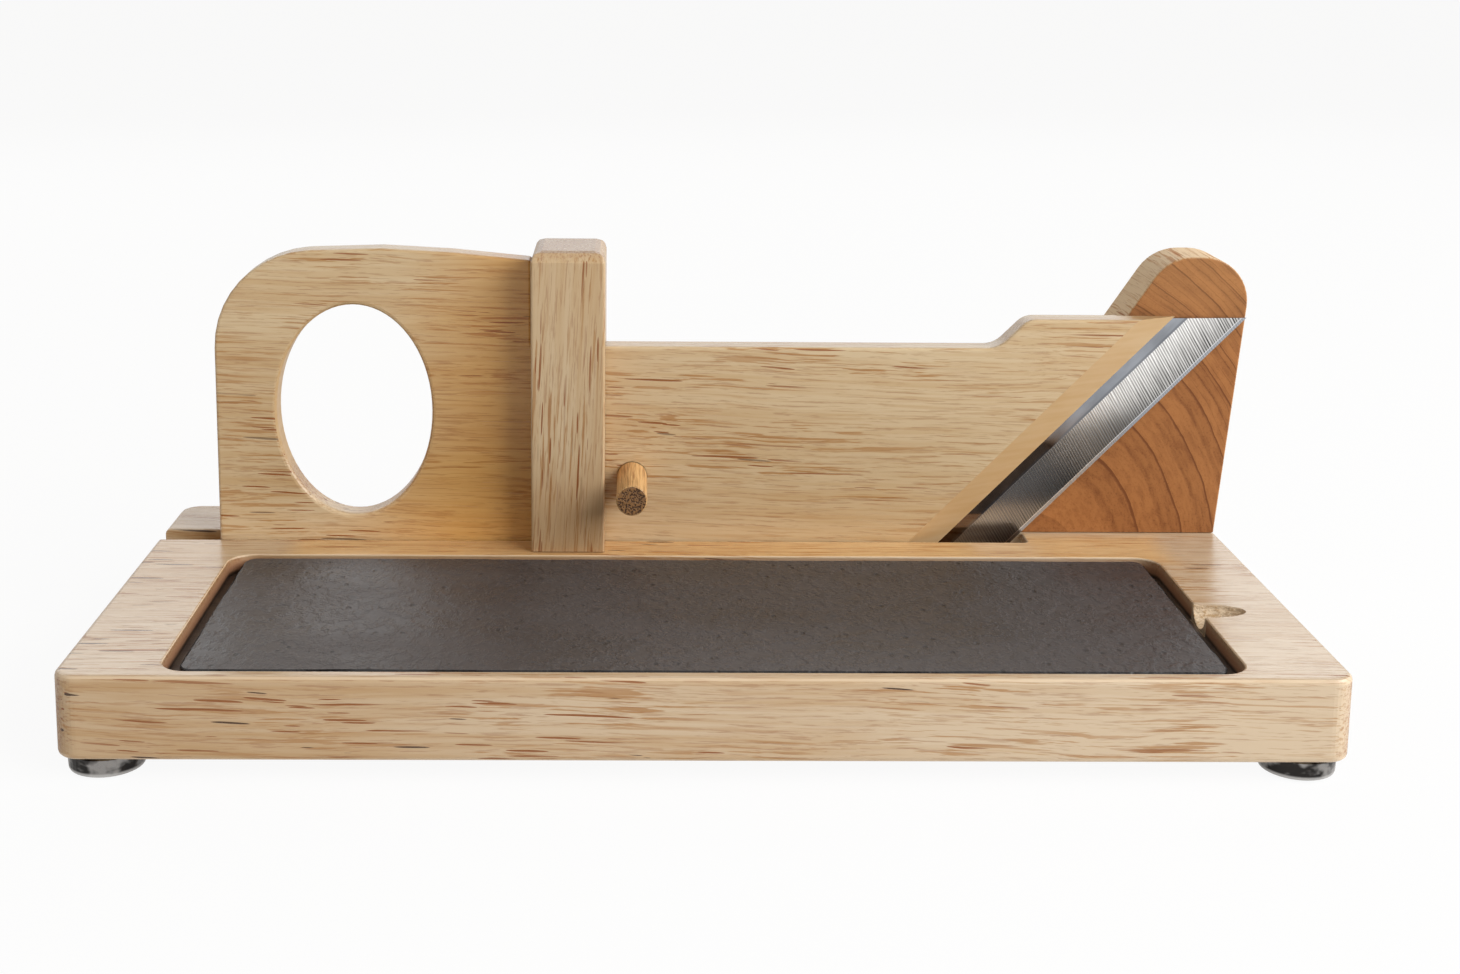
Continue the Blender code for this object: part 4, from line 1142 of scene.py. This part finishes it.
def floor_finish():
    """White floor: seen directly it is nearly even, and it still takes the object's shadow."""
    material = bpy.data.materials.new("white floor")
    material.use_nodes = True
    floor = Nodes(material.node_tree)
    floor.tree.nodes.clear()
    rays = floor.node("LightPath").outputs
    share = floor.add(floor.times(rays["Is Camera Ray"], FLOOR_GLOW_SEEN),
                      floor.times(rays["Is Glossy Ray"], FLOOR_GLOW_MIRRORED))
    matt = floor.node("BsdfDiffuse", {"Color": FLOOR_COLOR}).outputs[0]
    glow = floor.node("Emission", {"Strength": 1.0}).outputs[0]
    mixed = floor.node("MixShader", {0: share, 1: matt, 2: glow}).outputs[0]
    floor.node("OutputMaterial", {"Surface": mixed})
    return material


def studio_world(ambient):
    """Even light from all around, seen as white by the camera and by shiny surfaces."""
    world = bpy.data.worlds.new("studio")
    world.use_nodes = True
    air = Nodes(world.node_tree)
    rays = air.node("LightPath").outputs
    seen = air.largest(rays["Is Camera Ray"], rays["Is Glossy Ray"])
    strength = air.node("MapRange", {"Value": seen, "To Min": ambient, "To Max": 1.0})
    background = air.tree.nodes["Background"].inputs
    air.feed(background["Strength"], strength.outputs["Result"])
    air.feed(background["Color"], air.mix(seen, AMBIENT_COLOR, WHITE))
    return world


def photo_camera(settings):
    """Camera at the photograph's place, with its low view and slight roll."""
    data = bpy.data.cameras.new("camera")
    data.sensor_width = 36
    data.lens = settings.lens
    data.shift_x, data.shift_y = settings.camera_shift
    data.clip_start = 0.01
    camera = placed("camera", data)
    tilt, yaw, roll = settings.camera_turn
    aim = Euler((pi / 2 - tilt, 0, yaw)).to_matrix().to_4x4() @ Matrix.Rotation(roll, 4, "Z")
    camera.matrix_world = Matrix.Translation(settings.camera_place) @ aim
    bpy.context.scene.camera = camera


class GUILLOTINE_OT_stage(bpy.types.Operator):
    """Set up the white floor, the soft lights and the camera"""
    bl_idname = "guillotine.stage"
    bl_label = "Studio"

    def execute(self, context):
        settings = context.scene.guillotine_studio
        low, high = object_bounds()
        mesh = bmesh.new()
        bmesh.ops.create_circle(mesh, cap_ends=True, segments=FLOOR_SIDES, radius=FLOOR_RADIUS)
        data = bpy.data.meshes.new("floor")
        mesh.to_mesh(data)
        mesh.free()
        floor = placed("floor", data)
        floor.location.z = low.z - FLOOR_GAP
        data.materials.append(floor_finish())
        floor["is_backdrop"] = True

        for name, (place, size) in LIGHTS.items():
            soft_light(name + " light", place, size, getattr(settings, name), (low + high) / 2)
        context.scene.world = studio_world(settings.ambient)
        context.scene.view_settings.view_transform = "Standard"
        photo_camera(settings)
        return {"FINISHED"}


class GUILLOTINE_PT_panel(bpy.types.Panel):
    bl_label = "Sausage guillotine"
    bl_idname = "GUILLOTINE_PT_panel"
    bl_space_type = "VIEW_3D"
    bl_region_type = "UI"
    bl_category = "Guillotine"

    def draw(self, context):
        for operator in OPERATORS:
            self.layout.operator(operator.bl_idname)
        for name in SETTINGS:
            box = self.layout.box()
            group = getattr(context.scene, name)
            for prop in group.bl_rna.properties:
                if prop.identifier not in ("rna_type", "name"):
                    box.prop(group, prop.identifier)


SETTINGS = {
    "guillotine_wood": WoodSettings,
    "guillotine_slate": SlateSettings,
    "guillotine_blade": BladeSettings,
    "guillotine_studio": StudioSettings,
}

OPERATORS = (
    GUILLOTINE_OT_stage,
    GUILLOTINE_OT_board,
    GUILLOTINE_OT_post,
    GUILLOTINE_OT_block,
    GUILLOTINE_OT_slider,
    GUILLOTINE_OT_pin,
    GUILLOTINE_OT_blade,
    GUILLOTINE_OT_slate,
    GUILLOTINE_OT_feet,
    GUILLOTINE_OT_screws,
)


def register():
    for cls in (*SETTINGS.values(), *OPERATORS, GUILLOTINE_PT_panel):
        bpy.utils.register_class(cls)
    for name, group in SETTINGS.items():
        setattr(bpy.types.Scene, name, PointerProperty(type=group))


def unregister():
    for name in SETTINGS:
        delattr(bpy.types.Scene, name)
    for cls in reversed((*SETTINGS.values(), *OPERATORS, GUILLOTINE_PT_panel)):
        bpy.utils.unregister_class(cls)


def main():
    register()
    for operator in OPERATORS:
        section, name = operator.bl_idname.split(".")
        getattr(getattr(bpy.ops, section), name)()


if __name__ == "__main__":
    main()
